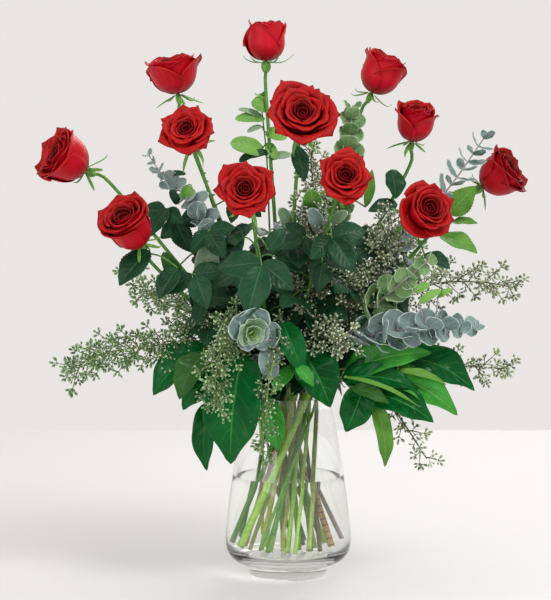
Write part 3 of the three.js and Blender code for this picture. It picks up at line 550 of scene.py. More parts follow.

# %% The twelve roses
# Per rose, in millimetres and degrees: the bloom's centre, the way it faces, its width and height, how
# far it is open, the turn of its first whorl, and the ring and azimuth at which its stem crosses the
# neck. Some also have a swell, a start angle or a hip of their own, a seam that faces the viewer, a
# shade that paints their petals darker where the bloom lies in shadow, or lower and wider outer petals.
ROSES = [
    dict(centre=(-25, 15, 599), axis=(0, -0.05, 1), across=45, tall=45, open=0, turn=90, ring=0, azimuth=150,
         swell=1.08, start=84, hip=5.6),
    dict(centre=(-129, 43, 562), axis=(-0.17, -0.15, 0.97), across=72, tall=43, open=0.1, turn=60, ring=1,
         azimuth=165, swell=0.72, start=84, hip=3.4),
    dict(centre=(105, 53, 564), axis=(0.42, -0.12, 0.9), across=58, tall=48, open=0.16, turn=70, ring=1,
         azimuth=60, swell=0.92, start=80, hip=3.6, seam=-100),
    dict(centre=(-109, -58, 495), axis=(-0.15, -0.85, 0.5), across=60, tall=46, open=0.95, turn=12, ring=1,
         azimuth=210, corners=[(158, 141), (161, 119), (183, 104), (198, 105), (212, 118), (215, 133),
                               (206, 148), (190, 156), (172, 149)]),
    dict(centre=(14, -79, 512), axis=(0.05, -0.85, 0.5), across=74, tall=50, open=1, turn=33, ring=0,
         azimuth=270, corners=[(281, 80), (313, 84), (330, 96), (341, 115), (333, 136), (303, 145),
                               (275, 134), (266, 115), (269, 100)]),
    dict(centre=(143, 25, 508), axis=(0.12, -0.35, 0.93), across=52, tall=44, open=0.22, turn=35, ring=1,
         azimuth=340, swell=0.95, start=75, hip=3.4, seam=-95),
    dict(centre=(-244, -15, 467), axis=(-0.75, -0.45, 0.45), across=70, tall=50, open=0.4, turn=25, ring=2,
         azimuth=185, swell=0.85, start=74),
    dict(centre=(-170, -94, 395), axis=(-0.37, -0.62, 0.69), across=65, tall=54, open=0.5, turn=40, ring=2,
         azimuth=220, swell=0.85, start=76, shade=0.15),
    dict(centre=(-45, -131, 432.5), axis=(-0.1, -0.9, 0.4), across=65, tall=48, open=1, turn=5, ring=1,
         azimuth=250, corners=[(223, 164), (246, 160), (274, 172), (276, 194), (265, 212), (250, 219),
                               (235, 217), (213, 190)]),
    dict(centre=(58, -116, 447), axis=(0.1, -0.9, 0.35), across=61, tall=48, open=0.92, turn=55, ring=1,
         azimuth=295, corners=[(349, 146), (364, 155), (373, 178), (362, 198), (347, 205), (327, 195),
                               (319, 183), (320, 160)]),
    dict(centre=(145, -88, 411), axis=(0.4, -0.82, 0.35), across=66, tall=50, open=0.8, turn=18, ring=2,
         azimuth=320, low=0.55, shade=0.1, spread=62,
         corners=[(423, 180), (441, 189), (454, 220), (449, 233), (418, 238), (402, 226), (401, 203)]),
    dict(centre=(236, 15, 449), axis=(0.72, -0.35, 0.5), across=62, tall=46, open=0.3, turn=44, ring=2,
         azimuth=30, swell=0.9, start=74, shade=0.45),
]
print("roses", len(ROSES))

# %% The line of a petal
def petal_line(sideways, petal):
    """Points (radius, height) up one line of a petal, from its base to its rolled rim."""
    side, whole = abs(sideways), petal["length"]
    length = whole * (1 - 0.6 * petal["fold"] * side ** 0.9 - petal["dip"] * side ** 2)
    fold_at = whole * (1 - petal["fold"] * side ** 0.5 - petal["dip"] * side ** 2)
    flare_at = whole - petal["limb"]
    radius, height, line = petal["root"], 0.0, []
    step = length / (PETAL_ROWS * PETAL_STEPS)
    for i in range(PETAL_ROWS * PETAL_STEPS + 1):
        if i % PETAL_STEPS == 0:
            line.append((radius, height))
        run = i * step
        lean = mixed(petal["start"], petal["lean"], min(run / petal["belly"], 1))
        lean += petal["flare"] * eased(run, flare_at - 0.6 * petal["limb"], flare_at + 0.5 * petal["limb"])
        if run > fold_at:
            lean += min((run - fold_at) / (petal["tight"] * (0.4 + 0.6 * side)), petal["roll"])
        radius += math.sin(lean) * step
        height += math.cos(lean) * step
    return line


def petal_form(rim_radius, rim_height, swell, root, start):
    """How a petal leans so that its wall reaches the rim's radius and height."""
    lean = 0.1
    belly_out = max(root + swell * (rim_radius - root), root + 0.3)
    for _ in range(8):
        middle = (start + lean) / 2
        belly = (belly_out - root) / math.sin(middle)
        rise = belly * math.cos(middle)
        lean = math.atan2(rim_radius - belly_out, rim_height - rise)
    wall = belly + math.hypot(rim_radius - belly_out, rim_height - rise)
    return belly, lean, wall


# %% One petal
def add_petal(shape, whorl, rose, middle, place, seen_rim=None):
    """One petal of a whorl, with its middle at an angle; place turns local millimetres into a point."""
    opened = rose["open"]
    flare = math.radians(mixed(*whorl["flare"], opened)) * chance.uniform(0.85, 1.15)
    rim = seen_rim or mixed(*whorl["radius"], opened) * rose["across"] / 2 * chance.uniform(0.96, 1.04)
    height = mixed(*whorl["height"], opened) * rose["tall"] * chance.uniform(0.97, 1.02)
    root, start = min(3.5, 0.6 * rim), math.radians(rose.get("start", 78))
    swell = rose.get("swell", 0.8 - 0.15 * opened)
    petal = dict(root=root, start=start, limb=whorl["limb"], flare=flare,
                 fold=whorl["fold"] * chance.uniform(0.85, 1.2), tight=chance.uniform(0.9, 1.3),
                 roll=math.radians(mixed(*whorl["roll"], opened)),
                 dip=whorl.get("dip", 0.05) * max(1 - 2 * opened, 0) + 0.05)
    aim_radius, aim_height = rim, height
    for _ in range(5):
        form = petal_form(aim_radius, aim_height, swell, root, start)
        petal["belly"], petal["lean"], petal["length"] = form
        end_radius, end_height = petal_line(0, petal)[-1]
        aim_radius = max(aim_radius + rim - end_radius, 0.6 * rim)
        aim_height += height - end_height
    half_angle = math.radians(mixed(*whorl["spread"], opened)) * chance.uniform(0.94, 1.06)
    lap = mixed(0.5, 1.2, eased(rim, 3, 25))
    wave, ripple = any_turn(), mixed(0.2, 0.6, eased(rim, 5, 25))
    lines = [petal_line(2 * c / PETAL_COLUMNS - 1, petal) for c in range(PETAL_COLUMNS + 1)]

    def rule(x, y):
        u = 2 * x - 1
        radius, z = lines[round(x * PETAL_COLUMNS)][round(y * PETAL_ROWS)]
        wide = mixed(0.5, 1, eased(y, 0, 0.5)) * (1 - 0.12 * eased(y, 0.75, 1.0))
        radius = max(radius + lap * u + ripple * math.sin(5 * u + wave) * y ** 3, 0.2)
        z += ripple * math.cos(4 * u + 1.7 * wave) * y ** 4
        angle = middle + u * half_angle * wide
        return place(radius * math.cos(angle), radius * math.sin(angle), z)

    # Painted shade: petals nearer the heart get a higher tint, which darkens them, and a rose's shade
    # darkens all its petals where the bloom lies in shadow; the random share is each petal's own tone.
    inner = eased(rim / rose["across"], 0.3, 0.06)
    bent_grid(shape, PETAL_COLUMNS, PETAL_ROWS, rule, inner + chance.uniform(0, 0.2) + rose.get("shade", 0))


# %% Blooms
def seen_corner(rose, spot, height):
    """The angle and radius at which a corner seen in the picture lies, at a height in the bloom."""
    near = sight(*spot, -600)
    ray = (near - CAMERA_PLACE).normalized()
    level = rose["base"] + rose["direction"] * (height * MM)
    point = near + ray * ((level - near).dot(rose["direction"]) / ray.dot(rose["direction"]))
    local = rose["facing"].inverted() @ (point - level)
    return math.atan2(local.y, local.x), math.hypot(local.x, local.y) * 1000


def make_bloom(rose, number):
    shape = new_shape()
    axis = Vector(rose["axis"]).normalized()
    facing = UP.rotation_difference(axis)
    base = mm(*rose["centre"]) - axis * (BLOOM_MIDDLE * rose["tall"] * MM)
    rose.update(number=number, direction=axis, facing=facing, base=base)
    turn = math.radians(rose["turn"])
    corners = rose.get("corners", [])

    def place(x, y, z):
        return base + facing @ mm(x, y, z)

    for whorl in WHORLS[:-1] if corners else WHORLS:
        count = round(mixed(*whorl["count"], rose["open"]))
        turn += math.pi / count + chance.uniform(-0.15, 0.15)
        if whorl is WHORLS[-1] and "seam" in rose:
            turn = math.radians(rose["seam"]) + math.pi / count
        for i in range(count):
            middle = turn + math.tau * (i + chance.uniform(-0.08, 0.08)) / count
            add_petal(shape, whorl, rose, middle, place)
    for i, spot in enumerate(corners):
        level = rose.get("low", OUTER_LEVEL) + 0.05 * (i % 2)
        middle, rim = seen_corner(rose, spot, level * rose["tall"])
        spread = rose.get("spread", OUTER_SPREAD)
        outer = {**WHORLS[-1], "height": (level, level), "spread": (spread, spread)}
        add_petal(shape, outer, rose, middle, place, rim)
    finish(shape, f"bloom_{number}", [petal_back, petal_face], [f"rose_bloom_{number}"],
           thickness=THIN_WALL, inner=1)


for number, rose in enumerate(ROSES, 1):
    make_bloom(rose, number)

# %% [markdown]
# ## Roses: stems, hips and sepals
#
# Under each bloom sits an egg-shaped green hip with five narrow sepals. On a bud they spread level
# and their tips turn up, and under an open bloom they droop. A stem is made in two lengths: the lower
# one stands in the vase, where every stem has a colour of its own, and the upper one is fresh green
# with a few thorns.

# %% Hips, sepals and thorns
HIP_LENGTH = 14
STEM_FOOT, STEM_TOP = 2.6, 1.9  # a stem's radii in millimetres


def make_hip(shape, rose):
    base, facing = rose["base"], rose["facing"]

    def rule(x, y):
        turn = math.tau * x
        ball = rose.get("hip", 5.2) * math.sin(math.pi * mixed(0.06, 0.86, y)) ** 0.65
        radius = max(ball, STEM_TOP) if 0 < y < 1 else 0
        height = mixed(-HIP_LENGTH, 0.3, y)
        return base + facing @ mm(radius * math.cos(turn), radius * math.sin(turn), height)

    merge_seams(shape, bent_grid(shape, 16, 14, rule, 0.6))


def make_sepals(shape, rose):
    base, facing = rose["base"], rose["facing"]
    bud = rose["open"] == 0
    for i in range(5):
        turn = math.radians(rose["turn"]) + math.tau * (i + chance.uniform(-0.15, 0.15)) / 5
        out = facing @ Vector((math.cos(turn), math.sin(turn), 0))
        side = rose["direction"].cross(out)
        length = chance.uniform(23, 34)
        droop = chance.uniform(-1, 2) if bud else chance.uniform(5, 19)
        lift = chance.uniform(8, 13) if bud else chance.uniform(-2, 9)
        sway = chance.uniform(-8, 8)

        def rule(x, y):
            half = 2.6 * math.sin(math.pi * (0.2 + 0.8 * y)) ** 1.1 * (1 - 0.4 * y)
            rise = -2.4 - droop * math.sin(0.5 * math.pi * y) + lift * y ** 3
            reach = 4.2 + length * (y if bud else math.sin(1.35 * y) / 1.35)
            across = (2 * x - 1) * half + sway * y * y
            bow = 0.35 * half * (2 * x - 1) ** 2
            return base + (out * reach + side * across + rose["direction"] * (rise + bow)) * MM

        bent_grid(shape, 4, 12, rule, chance.random())


def make_thorns(shape, line, count):
    for _ in range(count):
        at = chance.randrange(6, len(line) - 4)
        along = (line[at + 1] - line[at]).normalized()
        out = along.orthogonal()
        out.rotate(Quaternion(along, any_turn()))
        root = line[at] + out * 0.0018
        points = [root, root + out * 0.0016 - along * 0.0003, root + out * 0.0032 - along * 0.0012]
        tube(shape, points, [0.0016, 0.0008, 0.0001], 6, 0.9)


# %% Stems in the vase
LOWER_STEPS = 48
LOWER_LOOKS = {1: olive_stem, 2: olive_stem, 3: bright_stem, 5: olive_stem, 6: pale_stem, 7: bright_stem,
               9: olive_stem, 10: bright_stem, 11: mauve_stem, 12: green_stem}


def lower_stem(name, ring, azimuth, foot_radius, lip_radius, look, node, bends=()):
    """A stem's length in the vase, up to a little over the lip, with a knot at each bend."""
    foot = neck_point(ring, azimuth, RINGS[ring][2])
    lip = neck_point(ring, azimuth, VASE_HEIGHT + 4)
    shares = [i / LOWER_STEPS for i in range(LOWER_STEPS + 1)]
    line = [foot.lerp(lip, share) for share in shares]
    radii = [mixed(foot_radius, lip_radius, share) * MM for share in shares]
    for at, push in bends:
        for i, share in enumerate(shares):
            line[i] = line[i] + Vector((push * MM * max(1 - abs(share - at) / 0.17, 0), 0, 0))
            radii[i] += 0.0004 * math.exp(-((share - at) / 0.012) ** 2)
    shape = new_shape()
    tube(shape, line, radii, 16, chance.random())
    finish(shape, name, [look], [node])


# %% Rose stems
for rose in ROSES:
    neck = rose["base"] - rose["direction"] * (2.6 * HIP_LENGTH * MM)
    end = rose["base"] - rose["direction"] * (0.75 * HIP_LENGTH * MM)
    lift = neck_point(rose["ring"], rose["azimuth"], VASE_HEIGHT + 30)
    rose["line"] = stem_line(rose["ring"], rose["azimuth"], [lift.lerp(neck, 0.5), neck, end], 40)
    number, node, last = rose["number"], f"rose_stem_{rose['number']}", len(rose["line"]) - 1
    lower_stem(f"lower_stem_{number}", rose["ring"], rose["azimuth"], STEM_FOOT, 0.92 * STEM_FOOT,
               LOWER_LOOKS.get(number, green_stem), node)
    radii = [mixed(0.92 * STEM_FOOT, STEM_TOP, i / last) * MM for i in range(last + 1)]
    shape = new_shape()
    tube(shape, rose["line"], radii, 14, 0.4)
    make_thorns(shape, rose["line"], 5)
    finish(shape, f"stem_{number}", [green_stem], [node])
    shape = new_shape()
    make_hip(shape, rose)
    finish(shape, f"hip_{number}", [sepal_green], [node])
    shape = new_shape()
    make_sepals(shape, rose)
    finish(shape, f"sepals_{number}", [sepal_green], [node], thickness=LEAF_WALL)

# %% [markdown]
# ## Leaves
#
# One rule makes every leaf: a grid laid along a line from root to tip, as wide as its outline says,
# then bent. It folds up along the midrib, arches along its length, waves at the edge and turns down
# at the tip. Rose leaflets also get fine teeth: every other point of the edge steps out.

# %% Leaf outlines
def ovate(y):
    return math.sin(math.pi * y ** 0.82) ** 0.8 if 0 < y < 1 else 0


def pointed(y):
    return math.sin(math.pi * y ** 0.8) ** 0.55 * (1 - 0.42 * eased(y, 0.7, 0.97)) if 0 < y < 1 else 0


def rounded(y):
    return math.sqrt(max(1 - (2 * y - 1) ** 2, 0)) ** 0.9


print("widths halfway along", [round(outline(0.5), 2) for outline in (ovate, pointed, rounded)])


# %% One leaf
def leaf(shape, root, tip, face, wide, outline, fold=0.2, arch=0.08, wave=0.0, droop=0.0, teeth=0.0,
         columns=8, rows=14):
    """A leaf from root to tip with its upper side towards face, wide in metres."""
    line = tip - root
    length = line.length
    along = line / length
    lateral = along.cross(face).normalized()
    normal = lateral.cross(along)
    phase, waves = any_turn(), chance.uniform(1.6, 2.6)
    tint = chance.random()

    def rule(x, y):
        u, row = 2 * x - 1, round(y * rows)
        half = outline(y) * wide / 2
        if teeth and abs(u) > 0.99 and 1 < row < rows - 1:
            half *= 1 + teeth * (1 if row % 2 else -1)
        lift = (arch * length * 4 * y * (1 - y) + fold * abs(u) ** 1.3 * half
                + wave * half * abs(u) * math.sin(math.tau * waves * y + phase + 1.5 * u)
                - droop * length * y ** 2.5)
        return root + line * y + lateral * (u * half) + normal * lift

    bent_grid(shape, columns, rows, rule, tint)


# %% Leaf directions and twigs
def square_to(line, face):
    """The part of a direction that is square to a line."""
    line = line.normalized()
    return (face - line * face.dot(line)).normalized()


def outward_face(root, tip):
    """A leaf's upper side: out from the middle of the bunch, mostly to the front or the back."""
    forward = root.y - 0.12 if root.y < 0.07 else root.y + 0.05
    return square_to(tip - root, Vector((0.6 * root.x, forward, 0.12)))


def nearest(points, place):
    return min(points, key=lambda point: (point - place).length)


def add_twig(shape, start, end, rise, thick, sides):
    """A thin twig between two points, with its middle raised a little."""
    middle = start.lerp(end, 0.5) + Vector((0, 0, rise))
    tube(shape, smooth_line([start, middle, end], 6), [thick] * 7, sides)


# %% [markdown]
# ## Rose leaves
#
# A rose's leaf is compound: a thin stalk carries one leaflet at its end and one or two pairs behind
# it. The ones that the picture shows are listed, root and tip, as in the frame. Others grow
# from the same stems by a seeded rule and stay inside a low dome, because between the roses the real
# bunch is a dense dark mass of leaves.

# %% Where the rose leaves grow
# Per rose: the joint and the tip of each end leaflet, and the number of leaflets.
ROSE_LEAVES = {
    2: [((-127, 20, 397), (-110, 10, 364), 3), ((-60, 60, 370), (-85, 95, 345), 3)],
    3: [((88, 30, 414), (96, 35, 457), 1), ((75, 85, 380), (95, 120, 352), 3)],
    4: [((-88, -45, 389), (-70, -60, 361), 3)],
    5: [((8, -40, 483), (18, -50, 444), 1), ((10, 60, 380), (25, 95, 350), 3)],
    6: [((116, 25, 456), (122, 15, 424), 1), ((123, 20, 417), (90, 10, 411), 1)],
    7: [((-133, -20, 414), (-153, -30, 384), 3)],
    8: [((-100, -100, 345), (-87, -115, 310), 3), ((-150, -80, 370), (-183, -95, 334), 1),
        ((-119, -95, 352), (-140, -105, 320), 1)],
    9: [((-29, -125, 356), (-44, -140, 304), 3), ((-22, -110, 372), (-4, -105, 395), 1)],
    10: [((46, -105, 384), (69, -118, 349), 3), ((36, -95, 358), (31, -100, 326), 1)],
    11: [((148, -60, 365), (175, -75, 351), 1), ((105, -40, 330), (130, -60, 300), 3)],
    12: [((179, 0, 407), (207, -15, 438), 1), ((183, 0, 398), (211, -10, 398), 1),
         ((169, -10, 383), (210, -25, 366), 1)],
}
GOLDEN_TURN = 2.4  # radians from one leaf, branchlet or seed to the next
# Leaves by rose and by place in its list: the light ones, and widths as a share of the length.
LIGHT_LEAVES = {(12, 0), (12, 1), (12, 2), (3, 0)}
LEAF_WIDTHS = {(3, 0): 0.28, (5, 0): 0.46, (6, 0): 0.85, (6, 1): 0.6, (12, 1): 0.5}
LEAFLET_WIDTH = 0.64  # of all other leaflets
# The dome that the other leaves stay inside, in metres, and how many a rose may have above a height.
DOME_CENTRE, DOME_REACH = (0.015, -0.01, 0.295), (0.145, 0.115, 0.125)
MOST_LEAVES, LOWEST_LEAF = 14, 0.225
print("rose leaves listed", sum(len(leaves) for leaves in ROSE_LEAVES.values()))

# %% Rose leaves
def compound_leaf(leaves, stalks, line, joint, tip, leaflets, width=LEAFLET_WIDTH, rows=28, columns=8):
    face = outward_face(joint, tip)
    root = nearest(line, joint)
    add_twig(stalks, root, joint, 0.004, 0.0009, 6)
    length = (tip - joint).length
    settings = dict(fold=0.22, wave=0.07, teeth=0.035, columns=columns, rows=rows)
    leaf(leaves, joint, tip, face, length * width, ovate, arch=0.05, droop=0.05, **settings)
    for pair in range((leaflets - 1) // 2):
        start = joint.lerp(root, min(0.25 * pair + 0.12, 0.9))
        for side in (-1, 1):
            out = (tip - joint).normalized()
            out.rotate(Quaternion(face, side * math.radians(chance.uniform(62, 80))))
            reach = length * chance.uniform(0.78, 0.92) * (1 - 0.12 * pair)
            leaf(leaves, start, start + out * reach, face, reach * LEAFLET_WIDTH, ovate, arch=0.04,
                 droop=chance.uniform(0.0, 0.12), **settings)


def inside_dome(place):
    spans = zip(place, DOME_CENTRE, DOME_REACH)
    return sum(((at - middle) / reach) ** 2 for at, middle, reach in spans) < 1


for rose in ROSES:
    number, line = rose["number"], rose["line"]
    leaves, stalks, light = new_shape(), new_shape(), new_shape()
    for i, (joint, tip, leaflets) in enumerate(ROSE_LEAVES.get(number, [])):
        target = light if (number, i) in LIGHT_LEAVES else leaves
        width = LEAF_WIDTHS.get((number, i), LEAFLET_WIDTH)
        compound_leaf(target, stalks, line[3:], mm(*joint), mm(*tip), leaflets, width)
    made, spin = 0, any_turn()
    for point in line[1:6] + line[7::2]:
        spin += GOLDEN_TURN
        out = Vector((math.cos(spin), math.sin(spin), chance.uniform(-0.3, 0.4))).normalized()
        joint = point + out * chance.uniform(0.020, 0.038)
        tip = joint + (out + Vector((0, 0, -0.3))).normalized() * chance.uniform(0.030, 0.040)
        if made < MOST_LEAVES and LOWEST_LEAF < point.z and inside_dome(tip):
            compound_leaf(leaves, stalks, line, joint, tip, chance.choice((3, 3, 5)), rows=12, columns=6)
            made += 1
    node = f"rose_stem_{number}"
    finish(leaves, f"leaves_{number}", [rose_leaf, rose_leaf_back], [node],
           thickness=THIN_WALL, inner=1)
    finish(stalks, f"leaf_stalks_{number}", [green_stem], [node])
    finish(light, f"light_leaves_{number}", [rose_leaf_light], [node], thickness=THIN_WALL)

# %% [markdown]
# ## Broad glossy leaves
#
# Lemon leaf is the collar of the bunch: large oval leaves with a sharp tip that hang over the lip of
# the vase. Their upper side is deep green and shines like leather, the underside is paler and dull,
# and the edge waves. Each leaf is listed by its root, tip and width, as in the frame, with the look
# of its upper side: deep, lit, olive or pale. Lit is painted light: a brighter, yellower green for the
# leaves that the light shines through. Leaves under `seen` are given by where they are seen in
# the picture and how deep they lie.

# %% Where the broad leaves hang
LEAF_BRANCHES = {
    "leaf_branch_left": dict(
        ring=3, azimuth=205, radius=2.6, look=olive_stem,
        paths=[[(-62, -42, 252), (-92, -60, 262)], [(-45, -62, 240), (-62, -76, 226)]],
        leaves=[((-70, -56, 240), (-118, -62, 196), 40)],
        seen=[((208, 348, -55), (151, 393, -62), 44), ((204, 354, -74), (178, 398, -92), 34, "olive"),
              ((208, 402, -64), (205, 471, -74), 25), ((243, 355, -78), (229, 464, -98), 64),
              ((266, 396, -80), (279, 452, -84), 26, "lit")]),
    "leaf_branch_centre": dict(
        ring=3, azimuth=290, radius=2.2, look=green_stem,
        paths=[[(4, -62, 246), (2, -80, 272)]],
        leaves=[((2, -60, 240), (44, -74, 236), 34)],
        seen=[((282, 322, -86), (303, 375, -110), 27), ((297, 366, -106), (314, 386, -116), 14, "lit"),
              ((294, 367, -86), (271, 394, -100), 16, "lit"), ((303, 352, -72), (331, 406, -94), 48)]),
    "leaf_branch_right": dict(
        ring=3, azimuth=325, radius=3, look=green_stem,
        paths=[[(66, -48, 240), (122, -48, 248)], [(58, -66, 228), (92, -80, 206)]],
        leaves=[((100, -50, 238), (160, -62, 208), 44), ((60, -62, 236), (112, -80, 214), 40)],
        seen=[((345, 375, -55), (430, 350, -78), 36, "lit"), ((400, 357, -45), (476, 387, -62), 44),
              ((385, 376, -62), (459, 412, -80), 38, "lit"), ((345, 378, -70), (418, 386, -90), 30),
              # painted highlight: the narrow 9 mm pale leaf stands in for a white strip of highlight on
              # these leaves; the 5 mm one is a thin folded leaf
              ((398, 371, -80), (447, 383, -88), 9, "pale"), ((345, 377, -92), (421, 405, -106), 5, "pale"),
              ((362, 392, -74), (434, 419, -98), 42), ((352, 388, -94), (390, 403, -108), 16, "olive"),
              ((364, 386, -84), (346, 432, -94), 36), ((374, 402, -86), (387, 467, -92), 20, "pale")]),
    "leaf_branch_back": dict(
        ring=3, azimuth=80, radius=2.8, look=olive_stem,
        paths=[[(-10, 58, 244), (-4, 92, 254)], [(28, 52, 246), (52, 72, 252)]],
        leaves=[((-16, 82, 246), (-68, 112, 196), 46), ((0, 92, 248), (-4, 124, 160), 52),
                ((40, 76, 246), (82, 104, 196), 46, "lit"), ((56, 62, 250), (118, 60, 234), 42)]),
}
LEAF_LOOKS = {"deep": glossy_leaf, "lit": lit_leaf, "olive": olive_leaf, "pale": glossy_back}
print("leaf branches", len(LEAF_BRANCHES))

# %% Leaf branches
def spray_stems(shape, name, spray, paths):
    """The stem of a spray in the vase, as a piece, and its forks above it, whose lines come back."""
    ring, azimuth, thick = spray["ring"], spray["azimuth"], spray["radius"]
    lower_stem(f"{name}_stem", ring, azimuth, thick, 0.85 * thick, spray["look"], name,
               spray.get("bends", ()))
    lip, crown = (neck_point(ring, azimuth, VASE_HEIGHT + rise) for rise in (0, 14))
    tube(shape, [lip, crown], [share * thick * MM for share in (0.84, 0.8)], 12, 0.4)
    forks = []
    for fork, path in enumerate(paths):
        line = smooth_line([lip, crown, *[mm(*place) for place in path]][1 if fork else 0:], 24)
        tube(shape, line, [mixed(0.78 * thick * MM, 0.0007, i / 24) for i in range(25)], 8, 0.5)
        forks.append(line)
    return forks


for name, branch in LEAF_BRANCHES.items():
    stems = new_shape()
    shapes = {look: new_shape() for look in LEAF_LOOKS}
    forks = spray_stems(stems, name, branch, branch["paths"])
    listed = [(mm(*root), mm(*tip), *rest) for root, tip, *rest in branch["leaves"]]
    listed += [(sight(*root), sight(*tip), *rest) for root, tip, *rest in branch.get("seen", [])]
    for root, tip, wide, *look in listed:
        start = nearest([point for line in forks for point in line[6:]], root)
        add_twig(stems, start, root, 0.003, 0.0013, 8)
        leaf(shapes[look[0] if look else "deep"], root, tip, outward_face(root, tip), wide * MM, pointed,
             fold=0.38, arch=0.14, wave=0.15, droop=0.08, columns=12, rows=24)
    finish(stems, f"{name}_twigs", [olive_stem], [name])
    for look, shape in shapes.items():
        finish(shape, f"{name}_{look}", [LEAF_LOOKS[look], glossy_back], [name],
               thickness=LEAF_WALL, inner=1)

# %% [markdown]
# ## Round-leaf eucalyptus
#
# The blue-grey sprays carry round leaves in pairs. Each pair sits at a right angle to the last, cups
# towards the tip and clasps the stem, so from the side a spray looks like a row of overlapping discs.
# `lean` says how far the leaves lie along the stem, `swell` how long they stay large, `narrow` how slim
# they are, and `toward` how much they turn to the viewer. Single leaves under `seen` are given by where
# they are seen in the picture: root, tip, width in pixels and look. Their spray's `depth` says how deep
# their roots and their tips lie. A spray that is seen from its end, with small leaves packed at the
# tip, makes a rosette.

# %% Where the round leaves grow
ROUND_LEAF_SPRAYS = {
    "eucalyptus_left": dict(ring=2, azimuth=155, radius=3.4, look=cane_stem, paths=[
        dict(places=[(-46, 0, 300), (-74, -10, 367), (-104, -5, 417), (-138, 5, 447), (-158, 10, 475)],
             start=0.3, pairs=22, sizes=(28, 9), lean=0.8, swell=1.5, aim=True, toward=0.8)],
        depth=(-14, -24),
        seen=[((177, 188), (165, 171), 15, "blue"), ((176, 188), (187, 180), 11, "blue"),
              ((168, 174), (186, 174), 6, "dark"), ((178, 204), (170, 190), 9, "dark"),
              ((186, 200), (190, 185), 14, "green"), ((186, 198), (196, 192), 13, "blue"),
              ((194, 204), (209, 193), 13, "blue"), ((196, 220), (199, 201), 19, "blue"),
              ((204, 219), (220, 213), 15, "blue"), ((206, 239), (210, 218), 19, "blue"),
              ((214, 236), (232, 227), 12, "dark"), ((219, 255), (223, 234), 20, "blue"),
              ((206, 287), (209, 243), 25, "soft"), ((180, 287), (163, 252), 16, "olive")]),
    "eucalyptus_top": dict(ring=1, azimuth=120, radius=2, look=green_stem, leaf="green", paths=[
        dict(places=[(-18, 18, 350), (-24, 22, 467), (-32, 22, 542)], start=0.97, pairs=2, sizes=(11, 8),
             lean=0.8)],
        depth=(22, 12),
        seen=[((267, 109), (251, 103), 15, "green"), ((265, 119), (235, 119), 11, "green"),
              ((264, 152), (230, 143), 19, "green"), ((266, 132), (287, 138), 15, "green"),
              ((268, 143), (276, 159), 10, "green"), ((268, 152), (243, 158), 9, "dark"),
              ((262, 149), (239, 162), 9, "dark"), ((268, 158), (292, 155), 9, "soft"),
              ((262, 126), (247, 132), 6, "soft"), ((262, 116), (238, 109), 6, "soft")]),
    "eucalyptus_right": dict(ring=1, azimuth=20, radius=2.4, look=olive_stem, leaf="soft", paths=[
        dict(places=[(45, 22, 350), (64, 22, 445), (72, 22, 526)], start=0.60, pairs=16, sizes=(25, 16),
             lean=1.1, swell=2, toward=1.0, leaf="fresh"),
        dict(places=[(85, 10, 300), (125, -2, 378), (178, 3, 434), (221, 10, 494)], start=0.5, pairs=17,
             sizes=(28, 19), lean=0.6, narrow=0.48, toward=0.6, leaf="blue")],
        depth=(-30, -52),
        seen=[((274, 223), (298, 257), 8, "blue"), ((320, 232), (309, 208), 15, "blue"),
              ((289, 228), (279, 208), 14, "soft"), ((312, 209), (311, 189), 19, "green"),
              ((332, 226), (348, 212), 12, "soft")]),
    "eucalyptus_low": dict(ring=3, azimuth=355, radius=4.2, look=bright_stem, paths=[
        dict(places=[(76, -52, 270), (146, -84, 287), (205, -76, 288)], start=0.38, pairs=17, sizes=(30, 12),
             lean=0.7, swell=1.5, aim=True, toward=2.4),
        dict(places=[(78, -40, 290), (125, -82, 338), (150, -90, 360)], start=0.5, pairs=9, sizes=(28, 13),
             lean=0.9, toward=1.2, leaf="fresh")], depth=(-92, -96),
        seen=[((419, 303), (441, 290), 8, "green"), ((438, 297), (451, 289), 6, "green"),
              ((414, 292), (430, 284), 8, "green")]),
    "eucalyptus_front": dict(ring=3, azimuth=262, radius=2, look=pale_stem, paths=[
        dict(places=[(-14, -84, 268), (-30, -112, 276), (-39, -126, 284)], start=0.35, end=0.75, pairs=3,
             sizes=(22, 20), lean=0.6)], depth=(-92, -98),
        seen=[((265, 348), (272, 380), 19, "blue"), ((262, 366), (281, 357), 13, "blue"),
              ((279, 340), (270, 322), 12, "blue")]),
    "eucalyptus_back": dict(ring=2, azimuth=110, radius=2.4, look=brown_stem, paths=[
        dict(places=[(14, 52, 310), (38, 84, 395), (48, 96, 452)], start=0.35, pairs=14, sizes=(26, 9),
             lean=0.7),
        dict(places=[(-20, 60, 290), (-70, 92, 350), (-96, 104, 396)], start=0.35, pairs=14, sizes=(26, 9),
             lean=0.7)]),
}
ROUND_LOOKS = {"blue": blue_leaf, "soft": soft_leaf, "fresh": fresh_leaf, "green": green_round,
               "olive": olive_leaf, "dark": rose_leaf}
# Per ring of the rosette: its leaves, their length in millimetres, and their lean from the middle.
ROSETTE_RINGS = [(5, 23, 1.25), (4, 19, 0.95), (3, 13, 0.65), (3, 8, 0.35)]
ROSETTE_SEEN, ROSETTE_FACING = (251, 333, -128), (0.35, -1, -0.1)
print("round-leaf sprays", len(ROUND_LEAF_SPRAYS))

# %% Leaf pairs and the rosette
def along_line(line, share):
    at = share * (len(line) - 1)
    i = min(int(at), len(line) - 2)
    return line[i].lerp(line[i + 1], at - i), (line[i + 1] - line[i]).normalized()


